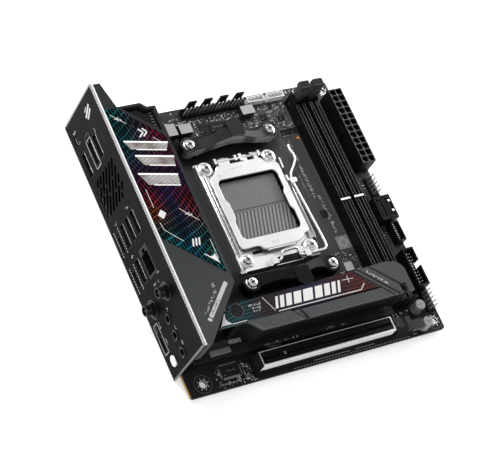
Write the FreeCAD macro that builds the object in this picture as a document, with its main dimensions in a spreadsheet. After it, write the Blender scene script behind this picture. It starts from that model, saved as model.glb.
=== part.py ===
import FreeCAD, Part
import math
import os

from FreeCAD import Placement, Rotation, Vector

# Driving dimensions in millimetres.  The origin is the middle of the two case holes
# nearest the expansion slot, at the underside of the board.
SIZES = {
    "board_side": 170.0,
    "board_thick": 1.6,
    "board_corner": 2.0,
    "origin_x": 87.63,
    "origin_y": 6.35,
    "case_hole_bore": 3.96,
    "hole_left": 10.16,
    "hole_right": 165.1,
    "hole_far_left": 33.02,
    "hole_near": 6.35,
    "hole_far": 163.83,
    "cooler_x": 60.26,
    "cooler_y": 53.04,
    "cooler_pitch_x": 54.0,
    "cooler_pitch_y": 90.0,
    "clamp_x": 65.4,
    "clamp_y": 67.8,
    "clamp_pitch_x": 42.9,
    "clamp_pitch_y": 60.0,
    "shield_face_x": -3.4,
    "shield_thick": 1.0,
    "cover_top": 43.1,
    "cover_wall": 1.3,
    "plate_thick": 0.4,
    "riser_top": 13.4,
    "riser_thick": 1.2,
    "m2_top": 37.0,
    "m2_cover_thick": 2.0,
    "jack_pitch": 10.0,
    "jack_axis_z": 19.8,
    "jack_bore": 3.6,
    "antenna_barrel": 6.0,
    "slot_width": 6.8,
    "slot_top": 11.2,
    "dimm_pitch": 9.4,
    "dimm_first_x": 139.9,
    "plug_height": 12.8,
    "lever_rod": 2.0,
}

doc = FreeCAD.newDocument("motherboard")
sheet = doc.addObject("Spreadsheet::Sheet", "Sizes")
for row, (alias, amount) in enumerate(SIZES.items(), start=1):
    sheet.set(f"A{row}", alias)
    sheet.set(f"B{row}", str(amount))
    sheet.setAlias(f"B{row}", alias)
doc.recompute()

X_AXIS = Vector(1, 0, 0)
Y_AXIS = Vector(0, 1, 0)
Z_AXIS = Vector(0, 0, 1)
TURNS = {
    "x": Rotation(Y_AXIS, 90),
    "y": Rotation(X_AXIS, -90),
    "z": Rotation(),
}
NODES = []


# ---- building blocks -------------------------------------------------------------

def size(alias):
    """A driving dimension as a number."""
    return float(getattr(sheet, alias))


def cell(alias):
    """A driving dimension as it is written in an expression."""
    return f"Sizes.{alias}"


BOARD_TOP = cell("board_thick")
TOP = size("board_thick")


def bind(item, prop, amount):
    item.setExpression(prop, str(amount))


def place(item, corner, turn=Rotation()):
    """Put an item at board coordinates: x from the rear edge, y from the slot edge."""
    item.Placement = Placement(Vector(), turn)
    x, y, z = corner
    bind(item, "Placement.Base.x", f"({x}) - {cell('origin_x')}")
    bind(item, "Placement.Base.y", f"({y}) - {cell('origin_y')}")
    bind(item, "Placement.Base.z", z)
    return item


def block(corner, extent, name="block"):
    item = doc.addObject("Part::Box", name)
    for prop, amount in zip(("Length", "Width", "Height"), extent):
        bind(item, prop, amount)
    return place(item, corner)


def rod(start, radius, length, axis="z", name="rod"):
    item = doc.addObject("Part::Cylinder", name)
    bind(item, "Radius", radius)
    bind(item, "Height", length)
    return place(item, start, TURNS[axis])


def together(items, name="group"):
    """Separate solids kept side by side in one object."""
    item = doc.addObject("Part::Compound", name)
    item.Links = items
    return item


def joined(items, name="joined"):
    item = doc.addObject("Part::MultiFuse", name)
    item.Shapes = items
    item.Refine = True
    return item


def cut(base, tools, name="cut"):
    item = doc.addObject("Part::Cut", name)
    item.Base = base
    item.Tool = tools[0] if len(tools) == 1 else together(tools, "tools")
    return item


def node(label, item):
    """Name a finished sub-part; the label is its node's name."""
    item.Label = label
    NODES.append(item)
    return item


def outline_edges(points, radius=0.0):
    """Straight edges through the points, with each corner rounded when a radius is given."""
    corners = [Vector(*point, 0) for point in points]
    count = len(corners)
    if radius <= 0:
        return [Part.LineSegment(corners[i], corners[(i + 1) % count]) for i in range(count)]
    starts, ends, arcs = [], [], []
    for i, corner in enumerate(corners):
        back = (corners[i - 1] - corner).normalize()
        ahead = (corners[(i + 1) % count] - corner).normalize()
        half = back.getAngle(ahead) / 2
        reach = radius / math.tan(half)
        middle = corner + (back + ahead).normalize() * (radius / math.sin(half) - radius)
        starts.append(corner + back * reach)
        ends.append(corner + ahead * reach)
        arcs.append(Part.Arc(starts[-1], middle, ends[-1]))
    edges = []
    for i in range(count):
        edges.append(arcs[i])
        edges.append(Part.LineSegment(ends[i], starts[(i + 1) % count]))
    return edges


def rectangle(x0, y0, x1, y1):
    return [(x0, y0), (x1, y0), (x1, y1), (x0, y1)]


def origin_plane(body, role):
    return next(item for item in body.Origin.OriginFeatures if item.Role == role)


def sketch_on(body, role, offset, outlines, circles=(), radius=0.0):
    """A sketch of closed outlines and (x, y, radius) circles, moved along its plane's normal."""
    sketch = body.newObject("Sketcher::SketchObject", "Sketch")
    sketch.AttachmentSupport = [(origin_plane(body, role), "")]
    sketch.MapMode = "FlatFace"
    bind(sketch, "AttachmentOffset.Base.z", offset)
    for outline in outlines:
        sketch.addGeometry(outline_edges(outline, radius), False)
    for x, y, bore in circles:
        sketch.addGeometry(Part.Circle(Vector(x, y, 0), Z_AXIS, bore), False)
    return sketch


def pad(body, sketch, length):
    feature = body.newObject("PartDesign::Pad", "Pad")
    feature.Profile = sketch
    bind(feature, "Length", length)
    body.Tip = feature
    return feature


def pocket(body, sketch, length):
    """Remove material upward from the sketch and make sure that something was removed."""
    doc.recompute()
    before = body.Shape.Volume
    feature = body.newObject("PartDesign::Pocket", "Pocket")
    feature.Profile = sketch
    feature.Reversed = True
    bind(feature, "Length", length)
    body.Tip = feature
    doc.recompute()
    if not body.Shape.Volume < before - 1e-6:
        raise RuntimeError(f"a pocket in {body.Name} removes nothing")
    return feature


def new_body(name="Body"):
    return place(doc.addObject("PartDesign::Body", name), (0, 0, 0))


def prism(outlines, low, height, circles=(), radius=0.0, role="XY_Plane"):
    """A body padded from outlines; inner outlines and circles are holes."""
    body = new_body()
    sketch = sketch_on(body, role, low, outlines, circles, radius)
    pad(body, sketch, height)
    return body


def fixed_shape(shape):
    """An object for a shape worked out directly, placed on the board like the others."""
    item = doc.addObject("Part::Feature", "Shape")
    item.Shape = shape
    shift = Placement(Vector(-size("origin_x"), -size("origin_y"), 0), Rotation())
    item.Placement = shift.multiply(shape.Placement)
    return item


def turned(profile, centre):
    """A solid of revolution about +Z from (radius, height) points."""
    corners = [Vector(radius, 0, height) for radius, height in profile]
    face = Part.Face(Part.makePolygon(corners + corners[:1]))
    solid = face.revolve(Vector(), Z_AXIS, 360)
    solid.translate(Vector(*centre))
    return solid


def screw(centre, head_radius, head_height, shank_radius, shank_length):
    """A cross-recessed screw with a domed head, its seat at the centre."""
    rim = 0.55 * head_height
    profile = [(0, 0)]
    if shank_length > 0:
        profile = [(0, -shank_length), (shank_radius, -shank_length), (shank_radius, 0)]
    profile += [
        (head_radius, 0),
        (head_radius, rim),
        (0.93 * head_radius, 0.8 * head_height),
        (0.72 * head_radius, head_height),
        (0, head_height),
    ]
    solid = turned(profile, centre)
    x, y, z = centre
    arm, width, depth = 1.1 * head_radius, 0.26 * head_radius, 0.6 * head_height
    for angle in (25, 115):
        recess = Part.makeBox(arm, width, depth, Vector(-arm / 2, -width / 2, head_height - depth))
        recess.rotate(Vector(), Z_AXIS, angle)
        recess.translate(Vector(x, y, z))
        solid = solid.cut(recess)
    return solid


def swept_rod(points, radius, bend):
    """A round wire along straight runs joined by tangent arcs."""
    corners = [Vector(*point) for point in points]
    edges = []
    last = corners[0]
    for before, corner, after in zip(corners, corners[1:], corners[2:]):
        back = (before - corner).normalize()
        ahead = (after - corner).normalize()
        half = back.getAngle(ahead) / 2
        reach = bend / math.tan(half)
        middle = corner + (back + ahead).normalize() * (bend / math.sin(half) - bend)
        edges.append(Part.LineSegment(last, corner + back * reach).toShape())
        edges.append(Part.Arc(corner + back * reach, middle, corner + ahead * reach).toShape())
        last = corner + ahead * reach
    edges.append(Part.LineSegment(last, corners[-1]).toShape())
    circle = Part.Circle(corners[0], corners[1] - corners[0], radius).toShape()
    return Part.Wire(edges).makePipeShell([Part.Wire([circle])], True, True)


def grid(x_start, x_step, x_count, y_start, y_step, y_count):
    """Points in rows and columns."""
    return [(x_start + i * x_step, y_start + j * y_step) for i in range(x_count) for j in range(y_count)]


CASE_HOLES = [
    (size("hole_left"), size("hole_near")),
    (size("hole_right"), size("hole_near")),
    (size("hole_far_left"), size("hole_far")),
    (size("hole_right"), size("hole_far")),
]
COOLER_POSTS = grid(size("cooler_x"), size("cooler_pitch_x"), 2, size("cooler_y"), size("cooler_pitch_y"), 2)
CLAMP_POSTS = grid(size("clamp_x"), size("clamp_pitch_x"), 2, size("clamp_y"), size("clamp_pitch_y"), 2)


# ---- board and back plate ----------------------------------------------------------

def make_board():
    side = size("board_side")
    holes = [(x, y, size("case_hole_bore") / 2) for x, y in CASE_HOLES]
    holes += [(x, y, 2.6) for x, y in COOLER_POSTS + CLAMP_POSTS]
    outline = rectangle(0, 0, side, side)
    body = new_body("Board")
    pad(body, sketch_on(body, "XY_Plane", 0, [outline], radius=size("board_corner")), BOARD_TOP)
    holes_sketch = sketch_on(body, "XY_Plane", 0, [], holes)
    pocket(body, holes_sketch, BOARD_TOP)
    node("pcb", body)


def make_backplate():
    """Steel plate under the board whose bushes stand in the board's holes."""
    low, thick = -2.2, 1.6
    window = rectangle(72, 84, 102, 112)
    plate = prism([rectangle(55.5, 48, 119, 148), window], low, thick, radius=3.0)
    bushes = [rod((x, y, low + thick), 2.45, TOP - low - thick) for x, y in COOLER_POSTS + CLAMP_POSTS]
    threads = [rod((x, y, low), 1.6, TOP - low) for x, y in COOLER_POSTS + CLAMP_POSTS]
    node("socket_backplate", cut(joined([plate] + bushes), threads))


# ---- rear panel --------------------------------------------------------------------

SHIELD_BACK = size("shield_face_x") + size("shield_thick")
PORT_FACE = size("shield_face_x") + 0.15
PORT_GAP = 0.25
# Receptacles as (y low, y high, z low, z high) of the metal shell's outside.
HDMI = (137.0, 152.8, 2.7, 8.2)
USB_A = [
    (138.2, 153.0, 22.4, 28.1),
    (138.2, 153.0, 14.9, 20.6),
    (87.8, 102.6, 26.4, 32.1),
    (87.8, 102.6, 18.3, 24.0),
    (87.8, 102.6, 10.2, 15.9),
    (65.9, 80.7, 10.4, 16.1),
]
USB_C = [
    (88.9, 99.1, 2.9, 6.5),
    (67.4, 77.6, 3.2, 6.8),
    (28.2, 37.6, 1.7, 4.9),
]
LAN = (64.8, 82.2, 18.8, 29.9)
ANTENNAS = [(52.2, 30.0), (52.0, 8.7)]
JACKS = [(20.6 + i * size("jack_pitch"), size("jack_axis_z")) for i in range(3)]
FLASH_BUTTON = (39.8, 43.6, 1.9, 5.1)
CMOS_BUTTON = (18.4, 24.8, 4.2, 9.4)


def vent_slots():
    """Slanted slots in rows; every second one is broken in the middle like a woven grille."""
    slots = []
    y_low, y_high, z_low, z_high = 111.2, 132.6, 3.6, 34.2
    pitch, width, gap = 4.9, 1.5, 1.2
    for row in range(9):
        level = 9.6 + row * pitch
        y_end = y_high - max(0.0, level - z_high)
        y_start = max(y_low, y_high - (level - z_low))
        middle = y_start + (y_end - y_start) * (0.62 if row % 2 else 0.4)
        for y_0, y_1 in ((y_start, middle - gap / 2), (middle + gap / 2, y_end)):
            if y_1 - y_0 > 1.5:
                z_0, z_1 = level - (y_high - y_0), level - (y_high - y_1)
                half = width / 2
                slots.append([(y_0, z_0), (y_0 + half, z_0 - half), (y_1 + half, z_1 - half), (y_1, z_1),
                              (y_1 - half, z_1 + half), (y_0 - half, z_0 + half)])
    return slots


def make_shield():
    """Rear plate with an opening for each receptacle and a folded top edge."""
    y_low, y_high, z_low, z_high = 13.3, 174.0, -2.0, 43.6
    openings = [[y0 - PORT_GAP, z0 - PORT_GAP, y1 + PORT_GAP, z1 + PORT_GAP]
                for y0, y1, z0, z1 in [HDMI, LAN, FLASH_BUTTON, CMOS_BUTTON] + USB_A + USB_C]
    outlines = [rectangle(y_low, z_low, y_high, z_high)] + [rectangle(*edge) for edge in openings]
    outlines += vent_slots() + [rectangle(158.4, 3.0, 163.5, 5.4)]
    circles = [(y, z, size("antenna_barrel") / 2 + 0.2) for y, z in ANTENNAS]
    circles += [(y, z, 3.3) for y, z in JACKS]
    body = new_body("Shield")
    pad(body, sketch_on(body, "YZ_Plane", cell("shield_face_x"), outlines, circles), cell("shield_thick"))
    fold_depth, fold_thick = 2.2, 0.8
    lip = [rectangle(y_low, z_high - fold_thick, y_high, z_high)]
    pad(body, sketch_on(body, "YZ_Plane", cell("shield_face_x"), lip), fold_depth)
    node("io_shield", body)


def hollow_port(edges, depth, wall=0.5, tongue=None):
    """A folded metal shell open to the rear, with its contact tongue inside."""
    y0, y1, z0, z1 = edges
    shell = block((PORT_FACE, y0, z0), (depth, y1 - y0, z1 - z0))
    inside = block((PORT_FACE - 1, y0 + wall, z0 + wall), (depth, y1 - y0 - 2 * wall, z1 - z0 - 2 * wall))
    pieces = [cut(shell, [inside])]
    if tongue:
        side, low, high = tongue
        back = PORT_FACE + depth - 1
        reach = depth - 2.2
        pieces.append(block((back - reach, y0 + side, z0 + low), (reach, y1 - y0 - 2 * side, high - low)))
    return pieces


def make_ports():
    node("hdmi_port", together(hollow_port(HDMI, 12.5, 0.5, (2.6, 2.3, 3.3))))
    usb_a = []
    for edges in USB_A:
        usb_a += hollow_port(edges, 14.5, 0.5, (1.6, 0.9, 2.6))
    node("usb_a_ports", together(usb_a))
    usb_c = []
    for edges in USB_C:
        usb_c += hollow_port(edges, 9.0, 0.4, (1.9, 1.4, 2.1))
    node("usb_c_ports", together(usb_c))


def make_lan_port():
    """Network jack: a shielded block with the plug's cavity and the step for its catch."""
    y0, y1, z0, z1 = LAN
    depth = 17.0
    shell = block((PORT_FACE, y0, z0), (depth, y1 - y0, z1 - z0))
    cavity = block((PORT_FACE - 1, y0 + 1.4, z0 + 1.2), (13.5, 12.0, 8.7))
    catch = block((PORT_FACE - 1, y0 + 13.4, z0 + 4.0), (13.5, 2.6, 3.4))
    node("lan_port", cut(shell, [joined([cavity, catch])]))


def make_antenna_connectors():
    """Two threaded coaxial connectors on a small radio module."""
    barrel = size("antenna_barrel") / 2
    face = size("shield_face_x")
    nut_across, nut_thick, reach = 4.4, 1.6, 3.6
    turns = [math.radians(60 * i) for i in range(7)]
    corners = [Vector(0, nut_across * math.cos(turn), nut_across * math.sin(turn)) for turn in turns]
    pieces = []
    for y, z in ANTENNAS:
        nut = Part.Face(Part.makePolygon(corners)).extrude(Vector(-nut_thick, 0, 0))
        tube = Part.makeCylinder(barrel, reach, Vector(-nut_thick - reach, 0, 0), X_AXIS)
        bore = Part.makeCylinder(barrel - 0.7, reach - 0.4, Vector(-nut_thick - reach, 0, 0), X_AXIS)
        pin = Part.makeCylinder(0.8, reach - 1.0, Vector(-nut_thick - reach + 0.6, 0, 0), X_AXIS)
        stem = Part.makeCylinder(2.4, 6.2, Vector(), X_AXIS)
        connector = nut.fuse([tube, stem]).cut(bore).fuse(pin).removeSplitter()
        connector.translate(Vector(face, y, z))
        pieces.append(connector)
    node("antenna_connectors", fixed_shape(Part.makeCompound(pieces)))
    node("wifi_module", joined([
        block((SHIELD_BACK + 5.2, 46.0, 1.6), (2.4, 12.4, 34.0)),
        block((SHIELD_BACK + 7.6, 47.0, 14.0), (2.0, 10.4, 16.0)),
    ]))


def make_audio_jacks():
    """Three 3.5 mm jacks: ringed barrels in front of moulded blocks on the riser board."""
    half = 4.6
    pieces = []
    for y, z in JACKS:
        low = size("riser_top")
        body = block((SHIELD_BACK + 0.1, y - half, low), (11.0, 2 * half, z + 4.0 - low))
        barrel = rod((PORT_FACE, y, z), 3.1, SHIELD_BACK + 0.1 - PORT_FACE, "x")
        bore = rod((PORT_FACE, y, z), size("jack_bore") / 2, 10.0, "x")
        pieces.append(cut(joined([body, barrel]), [bore]))
    node("audio_jacks", together(pieces))


def make_buttons():
    """Two push buttons; each cap slides into its own opening in the shield."""
    y0, y1, z0, z1 = FLASH_BUTTON
    cap = block((PORT_FACE - 0.55, y0, z0), (3.6, y1 - y0, z1 - z0))
    stem = block((PORT_FACE + 3.05, (y0 + y1) / 2 - 1, (z0 + z1) / 2 - 1), (2.4, 2, 2))
    node("bios_flash_button", joined([cap, stem]))
    y0, y1, z0, z1 = CMOS_BUTTON
    half = (z1 - z0) / 2
    face = PORT_FACE - 0.45
    middle = block((face, y0 + half, z0), (3.6, y1 - y0 - 2 * half, z1 - z0))
    ends = [rod((face, y, z0 + half), half, 3.6, "x") for y in (y0 + half, y1 - half)]
    stem = block((face + 3.6, (y0 + y1) / 2 - 1, (z0 + z1) / 2 - 1), (2.4, 2, 2))
    node("clear_cmos_button", joined([middle, stem] + ends))


# ---- covers and heatsinks ------------------------------------------------------------

COVER_EDGE_X = 29.5
COVER_OUTLINE = [
    (-0.8, 13.3), (2.6, 13.3), (COVER_EDGE_X, 43.2), (COVER_EDGE_X, 154.3), (24.5, 154.3),
    (21.4, 157.4), (7.1, 157.4), (3.3, 173.6), (-0.8, 173.6),
]
COVER_INSIDE = [
    (-2.0, 14.8), (2.0, 14.8), (28.2, 43.9), (28.2, 153.0), (24.0, 153.0), (20.9, 156.1),
    (6.1, 156.1), (2.2, 172.3), (-2.0, 172.3),
]
COVER_POCKET = [(9.4, 156.0), (27.4, 138.0), (27.4, 152.9), (23.9, 152.9), (20.8, 156.0)]
PLATE_OUTLINE = [(-0.8, 77.3), (27.4, 49.9), (27.4, 134.8), (6.3, 156.6), (-0.8, 156.6)]
PLATE_SCREWS = [(10.2, 144.1), (23.2, 62.6)]


def make_cover():
    """Open-bottomed cover over the receptacles, open to the rear behind the shield."""
    low, side_low = 24.0, 36.6
    wall = size("cover_wall")
    top = size("cover_top")
    outer = prism([COVER_OUTLINE], low, f"{cell('cover_top')} - {low}")
    inner = prism([COVER_INSIDE], low - 1, top - wall - low + 1)
    opening = prism([COVER_POCKET], top - wall - 1, wall + 2)
    side_gap = block((COVER_EDGE_X - 2, 47.0, low - 1), (4, 105.8, side_low - low + 1))
    node("io_cover", cut(cut(cut(outer, [inner]), [side_gap]), [opening]))


def make_cover_plate():
    """Thin printed plate on the cover's roof, with two small screws."""
    circles = [(x, y, 1.25) for x, y in PLATE_SCREWS]
    node("cover_plate", prism([PLATE_OUTLINE], cell("cover_top"), cell("plate_thick"), circles))
    seat = size("cover_top")
    heads = [screw((x, y, seat), 1.15, 0.45, 0, 0) for x, y in PLATE_SCREWS]
    node("cover_screws", fixed_shape(Part.makeCompound(heads)))


def make_regulator_heatsink():
    """Aluminium block beside the socket: a tall ribbed part under the cover and a sloped skirt."""
    y_low, y_high = 60.0, 152.6
    profile = [
        (18.6, 8.6), (48.0, 8.6), (48.0, 12.2), (31.0, 36.0),
        (27.4, 36.0), (27.4, 38.2), (18.6, 38.2),
    ]
    body = new_body("RegulatorHeatsink")
    pad(body, sketch_on(body, "XZ_Plane", -y_high, [profile]), y_high - y_low)
    cuts = []
    fin_pitch = 5.6
    for i in range(15):
        y = y_low + 6.0 + i * fin_pitch
        cuts.append(block((30.2, y, 13.6), (20, 1.6, 30)))
    node("vrm_heatsink", cut(body, cuts))
    chips = [block((38.4, 63.4 + j * 10.6, TOP), (6.0, 5.0, 1.0)) for j in range(8)]
    pads = [block((38.0, 62.8 + j * 10.6, TOP + 1.0), (7.0, 6.2, 6.0)) for j in range(8)]
    node("vrm_mosfets", together(chips))
    node("vrm_thermal_pads", together(pads))


# The storage heatsink's cover is three plates parted by slanted slits.
M2_SCREWS = [(26.9, 29.4), (130.8, 18.9)]


def make_storage_stack():
    """Riser board, storage socket, heatsink block and its cover, from the board upward."""
    riser_low = size("riser_top") - size("riser_thick")
    riser = [(4.6, 14.6), (134.2, 12.9), (134.2, 36.0), (30.5, 36.0), (30.5, 44.6), (2.8, 44.6), (2.8, 17.6)]
    node("riser_board", prism([riser], riser_low, cell("riser_thick"), [(131.4, 18.9, 1.7)]))
    link_low = TOP
    node("riser_connector", together([
        block((73.0, 26.0, link_low), (16.0, 6.0, riser_low - link_low)),
        block((92.0, 26.0, link_low), (26.0, 6.0, riser_low - link_low)),
    ]))
    node("riser_standoffs", together([
        rod((131.4, 18.9, TOP), 2.6, riser_low - TOP),
        rod((9.0, 22.0, TOP), 2.4, riser_low - TOP),
        rod((36.2, 39.0, TOP), 1.8, riser_low - TOP),
    ]))
    node("audio_codec_can", block((14.4, 15.8, cell("riser_top")), (12.4, 2.9, 1.6)))
    top = size("m2_top")
    cover_low = top - size("m2_cover_thick")
    base_low = 17.0
    base = [(25.6, 23.0), (31.6, 23.0), (38.6, 16.6), (135.6, 16.6), (135.6, 29.0), (132.4, 33.0),
            (126.0, 34.4), (24.8, 32.4)]
    core = prism([base], base_low, cover_low - base_low)
    grooves = [block((40.0, 15.0, 19.0 + i * 3.0), (90.0, 3.0, 1.2)) for i in range(5)]
    node("m2_heatsink", cut(core, grooves))
    node("m2_socket", together([
        block((37.0, 19.0, cell("riser_top")), (7.6, 15.0, 3.6)),
        rod((118.4, 27.0, cell("riser_top")), 2.4, 3.6),
        rod((47.6, 30.6, cell("riser_top")), 2.2, 3.6),
    ]))
    slit = 0.7
    left = [(13.5, 22.0), (30.8, 22.0), (38.1, 15.2), (64.9 - slit, 15.2), (58.2 - slit, 22.1),
            (117.2 - slit, 22.1), (104.0 - slit, 34.8), (22.9, 33.4)]
    middle = [(64.9, 15.2), (123.8 - slit, 15.2), (117.2, 22.0 - slit), (58.2 + slit, 22.0 - slit)]
    centre = [(104.0 + slit, 34.8), (123.8 + slit, 15.2), (129.0, 15.2), (129.0, 20.7), (114.7, 35.1)]
    right = [(115.9, 35.2), (130.2, 21.0), (133.2, 21.0), (133.2, 15.2), (137.0, 15.2), (137.0, 29.2),
             (135.9, 31.5), (132.9, 34.3), (126.0, 35.6)]
    level = f"{cell('m2_top')} - {cell('m2_cover_thick')}"
    thick = cell("m2_cover_thick")
    pieces = [
        prism([left], level, thick, [(M2_SCREWS[0][0], M2_SCREWS[0][1], 2.9)]),
        prism([middle], level, thick),
        prism([centre], level, thick),
        prism([right], level, thick),
    ]
    node("m2_heatsink_cover", together(pieces))
    x_near, y_near = M2_SCREWS[0]
    x_far, y_far = M2_SCREWS[1]
    heads = [screw((x_near, y_near, cover_low), 2.4, 1.2, 0, 0),
             screw((x_far, y_far - 1.0, cover_low), 1.6, 1.2, 0, 0)]
    node("m2_cover_screws", fixed_shape(Part.makeCompound(heads)))


# ---- processor socket and cooler mount ---------------------------------------------------

CLAMP_SEAT = 5.0
LEVER_AXIS = (63.3, 5.6)
HINGE_AXIS = (130.2, 5.6)
WINDOW = (68.0, 79.6, 107.6, 118.5)


def make_socket():
    """Contact block with its raised rim and the field of contacts on its floor."""
    x0, y0, x1, y1 = WINDOW
    floor = 3.0
    rim = 1.4
    block_body = prism([rectangle(x0 - rim, y0 - rim, x1 + rim, y1 + rim)], BOARD_TOP, 5.0 - TOP, radius=1.5)
    well = block((x0 + 0.1, y0 + 0.1, floor), (x1 - x0 - 0.2, y1 - y0 - 0.2, 5))
    node("cpu_socket", cut(block_body, [well]))
    half = (y1 - y0 - 2.2) / 2
    node("socket_contacts", together([
        block((x0 + 0.9, y0 + 0.9, floor), (x1 - x0 - 1.8, half, 0.5)),
        block((x0 + 0.9, y1 - 0.9 - half, floor), (x1 - x0 - 1.8, half, 0.5)),
    ]))


def make_clamp_frame():
    """Steel frame round the socket with screw pads, ridged left rail, bearings and catch."""
    x0, x1, y0, y1 = 59.5, 112.8, 61.6, 132.4
    window = rectangle(66.2, 77.8, 109.4, 120.2)
    base = prism([rectangle(x0, y0, x1, y1), window], BOARD_TOP, 1.2, radius=1.0)
    low = TOP + 1.2
    parts = [base]
    parts += [rod((x, y, low), 4.2, CLAMP_SEAT - low) for x, y in CLAMP_POSTS]
    parts += [
        block((x0, 63.0, low), (1.3, 68.0, 5.0 - low)),
        block((x0 + 2.6, 73.0, low), (1.2, 50.0, 4.6 - low)),
        block((x0 + 5.0, 73.0, low), (1.0, 50.0, 4.2 - low)),
        block((63.0, y0, low), (20.0, 7.0, 4.4 - low)),
        block((101.2, y0, low), (11.0, 7.0, 4.4 - low)),
        block((111.4, 109.2, low), (1.4, 3.6, 7.2 - low)),
    ]
    frame = joined(parts)
    y_axis, z_axis = LEVER_AXIS
    bearings = joined([block((x, y_axis - 2.0, 4.4), (3.4, 4.0, 2.9)) for x in (79.6, 101.6)])
    ear_size = (1.5, 3.4, 7.2 - low)
    ear_start = HINGE_AXIS[0] - ear_size[1] / 2
    ears = joined([block((x, ear_start, low), ear_size) for x in (71.4, 85.0, 87.9, 100.6)])
    bores = [rod((60.0, y_axis, z_axis), size("lever_rod") / 2 + 0.06, 60.0, "x")]
    bores += [rod((70.0, HINGE_AXIS[0], HINGE_AXIS[1]), 0.7, 33.0, "x")]
    screws = [rod((x, y, -1), 1.7, 9.0) for x, y in CLAMP_POSTS]
    node("ilm_frame", cut(joined([frame, bearings, ears]), bores + screws))
    node("load_plate_pin", rod((71.4, HINGE_AXIS[0], HINGE_AXIS[1]), 0.7, 30.7, "x"))


def make_load_plate():
    """Hinged plate that presses on the processor, with the stepped window."""
    x0, y0, x1, y1 = WINDOW
    low, thick = 5.5, 1.2
    outline = [(66.4, 119.0), (70.8, 124.4), (70.8, 127.4), (102.0, 127.4), (103.4, 123.6), (111.0, 122.4),
               (111.0, 76.4), (106.4, 75.2), (104.6, 72.6), (100.2, 71.4), (79.4, 71.4), (75.8, 74.6),
               (69.0, 74.6), (66.4, 77.0)]
    step = 1.5
    window = [(x0, y0), (x1, y0), (x1, 91.6), (x1 - step, 93.6), (x1 - step, 103.6), (x1, 105.6), (x1, y1),
              (x0, y1), (x0, 105.6), (x0 + step, 103.6), (x0 + step, 93.6), (x0, 91.6)]
    plate = new_body("LoadPlate")
    pad(plate, sketch_on(plate, "XY_Plane", low, [outline]), thick)
    pocket(plate, sketch_on(plate, "XY_Plane", low, [window], radius=0.9), thick)
    y_axis, z_axis = HINGE_AXIS
    tabs, barrels = [], []
    for x in (73.4, 90.0):
        width = 10.2 if x > 80 else 11.2
        tabs.append(block((x, 127.0, low), (width, y_axis - 127.0, thick)))
        barrels.append(rod((x, y_axis, z_axis), 1.5, width, "x"))
    bore = rod((70.0, y_axis, z_axis), 0.76, 34.0, "x")
    lip = block((80.4, 70.5, low), (18.6, 1.4, 0.8))
    node("load_plate", cut(joined([plate, lip] + tabs + barrels), [bore]))


def make_lever():
    """Sprung wire lever: a cranked axle under the plate's near edge and a long side arm."""
    radius = size("lever_rod") / 2
    y, z = LEVER_AXIS
    route = [
        (78.6, y, z), (85.6, y, z), (88.2, y + 4.4, z + 1.4), (97.4, y + 4.4, z + 1.4), (99.8, y, z),
        (117.9, y, z), (114.9, 108.0, z + 0.2), (115.8, 113.6, z + 1.2), (123.2, 121.6, z + 2.0),
        (121.8, 131.4, z + 2.0),
    ]
    node("socket_lever", fixed_shape(swept_rod(route, radius, 1.15)))


def make_clamp_screws():
    clamp = [screw((x, y, CLAMP_SEAT), 3.1, 1.8, 1.6, 4.8) for x, y in CLAMP_POSTS]
    node("ilm_screws", fixed_shape(Part.makeCompound(clamp)))


def bracket_shape(mirror_y):
    """One cooler bracket: two bosses, a bowed bar and the clip lug, for the far or near side."""
    far_y = size("cooler_y") + size("cooler_pitch_y")
    x_left = size("cooler_x")
    x_right = x_left + size("cooler_pitch_x")
    low, bar_low, bar_top, lug_top = TOP, 4.4, 9.0, 12.0
    bar = [
        (x_left - 3.0, 138.4), (76.0, 138.6), (85.3, 139.8), (96.5, 138.7), (106.0, 137.4),
        (114.6, 137.5), (116.0, 148.4), (109.4, 146.2), (97.4, 145.6), (96.6, 151.8),
        (86.3, 150.6), (76.6, 147.4), (61.0, 147.6),
    ]
    face = Part.Face(Part.Wire([edge.toShape() for edge in outline_edges(bar, 0.5)]))
    shape = face.extrude(Vector(0, 0, bar_top - bar_low))
    shape.translate(Vector(0, 0, bar_low))
    for x in (x_left, x_right):
        boss = Part.makeCylinder(5.5, bar_top - low, Vector(x, far_y, low))
        shape = shape.fuse(boss)
    lug = Part.makeBox(9.8, 8.4, lug_top - bar_top, Vector(86.6, 142.4, bar_top))
    hook = Part.makeBox(9.8, 2.6, 2.2, Vector(86.6, 150.8, lug_top - 2.2))
    shape = shape.fuse([lug, hook])
    for x in (x_left, x_right):
        shape = shape.cut(Part.makeCylinder(2.0, 20, Vector(x, far_y, 0)))
        shape = shape.cut(Part.makeCylinder(4.2, 2.0, Vector(x, far_y, bar_top - 1.0)))
    shape = shape.removeSplitter()
    if mirror_y:
        centre_y = size("cooler_y") + size("cooler_pitch_y") / 2
        shape = shape.mirror(Vector(0, centre_y, 0), Y_AXIS)
    return shape


def make_cooler_brackets():
    node("cooler_brackets", fixed_shape(Part.makeCompound([bracket_shape(False), bracket_shape(True)])))
    heads = [screw((x, y, 8.0), 3.6, 1.9, 1.5, 8.0) for x, y in COOLER_POSTS]
    node("cooler_bracket_screws", fixed_shape(Part.makeCompound(heads)))


# ---- expansion and memory slots -----------------------------------------------------------

PCIE = (42.8, 131.0, 3.4, 12.4)
PCIE_TOP = 12.8
PCIE_LATCH_AXIS = (133.6, 6.4)
LATCH_HALF = 2.5
DIMM_NEAR_Y = 19.4
DIMM_FAR_Y = 154.0
DIMM_LATCH_AXIS = (158.0, 6.0)
DIMM_X = [size("dimm_first_x") + i * size("dimm_pitch") for i in range(2)]


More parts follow.
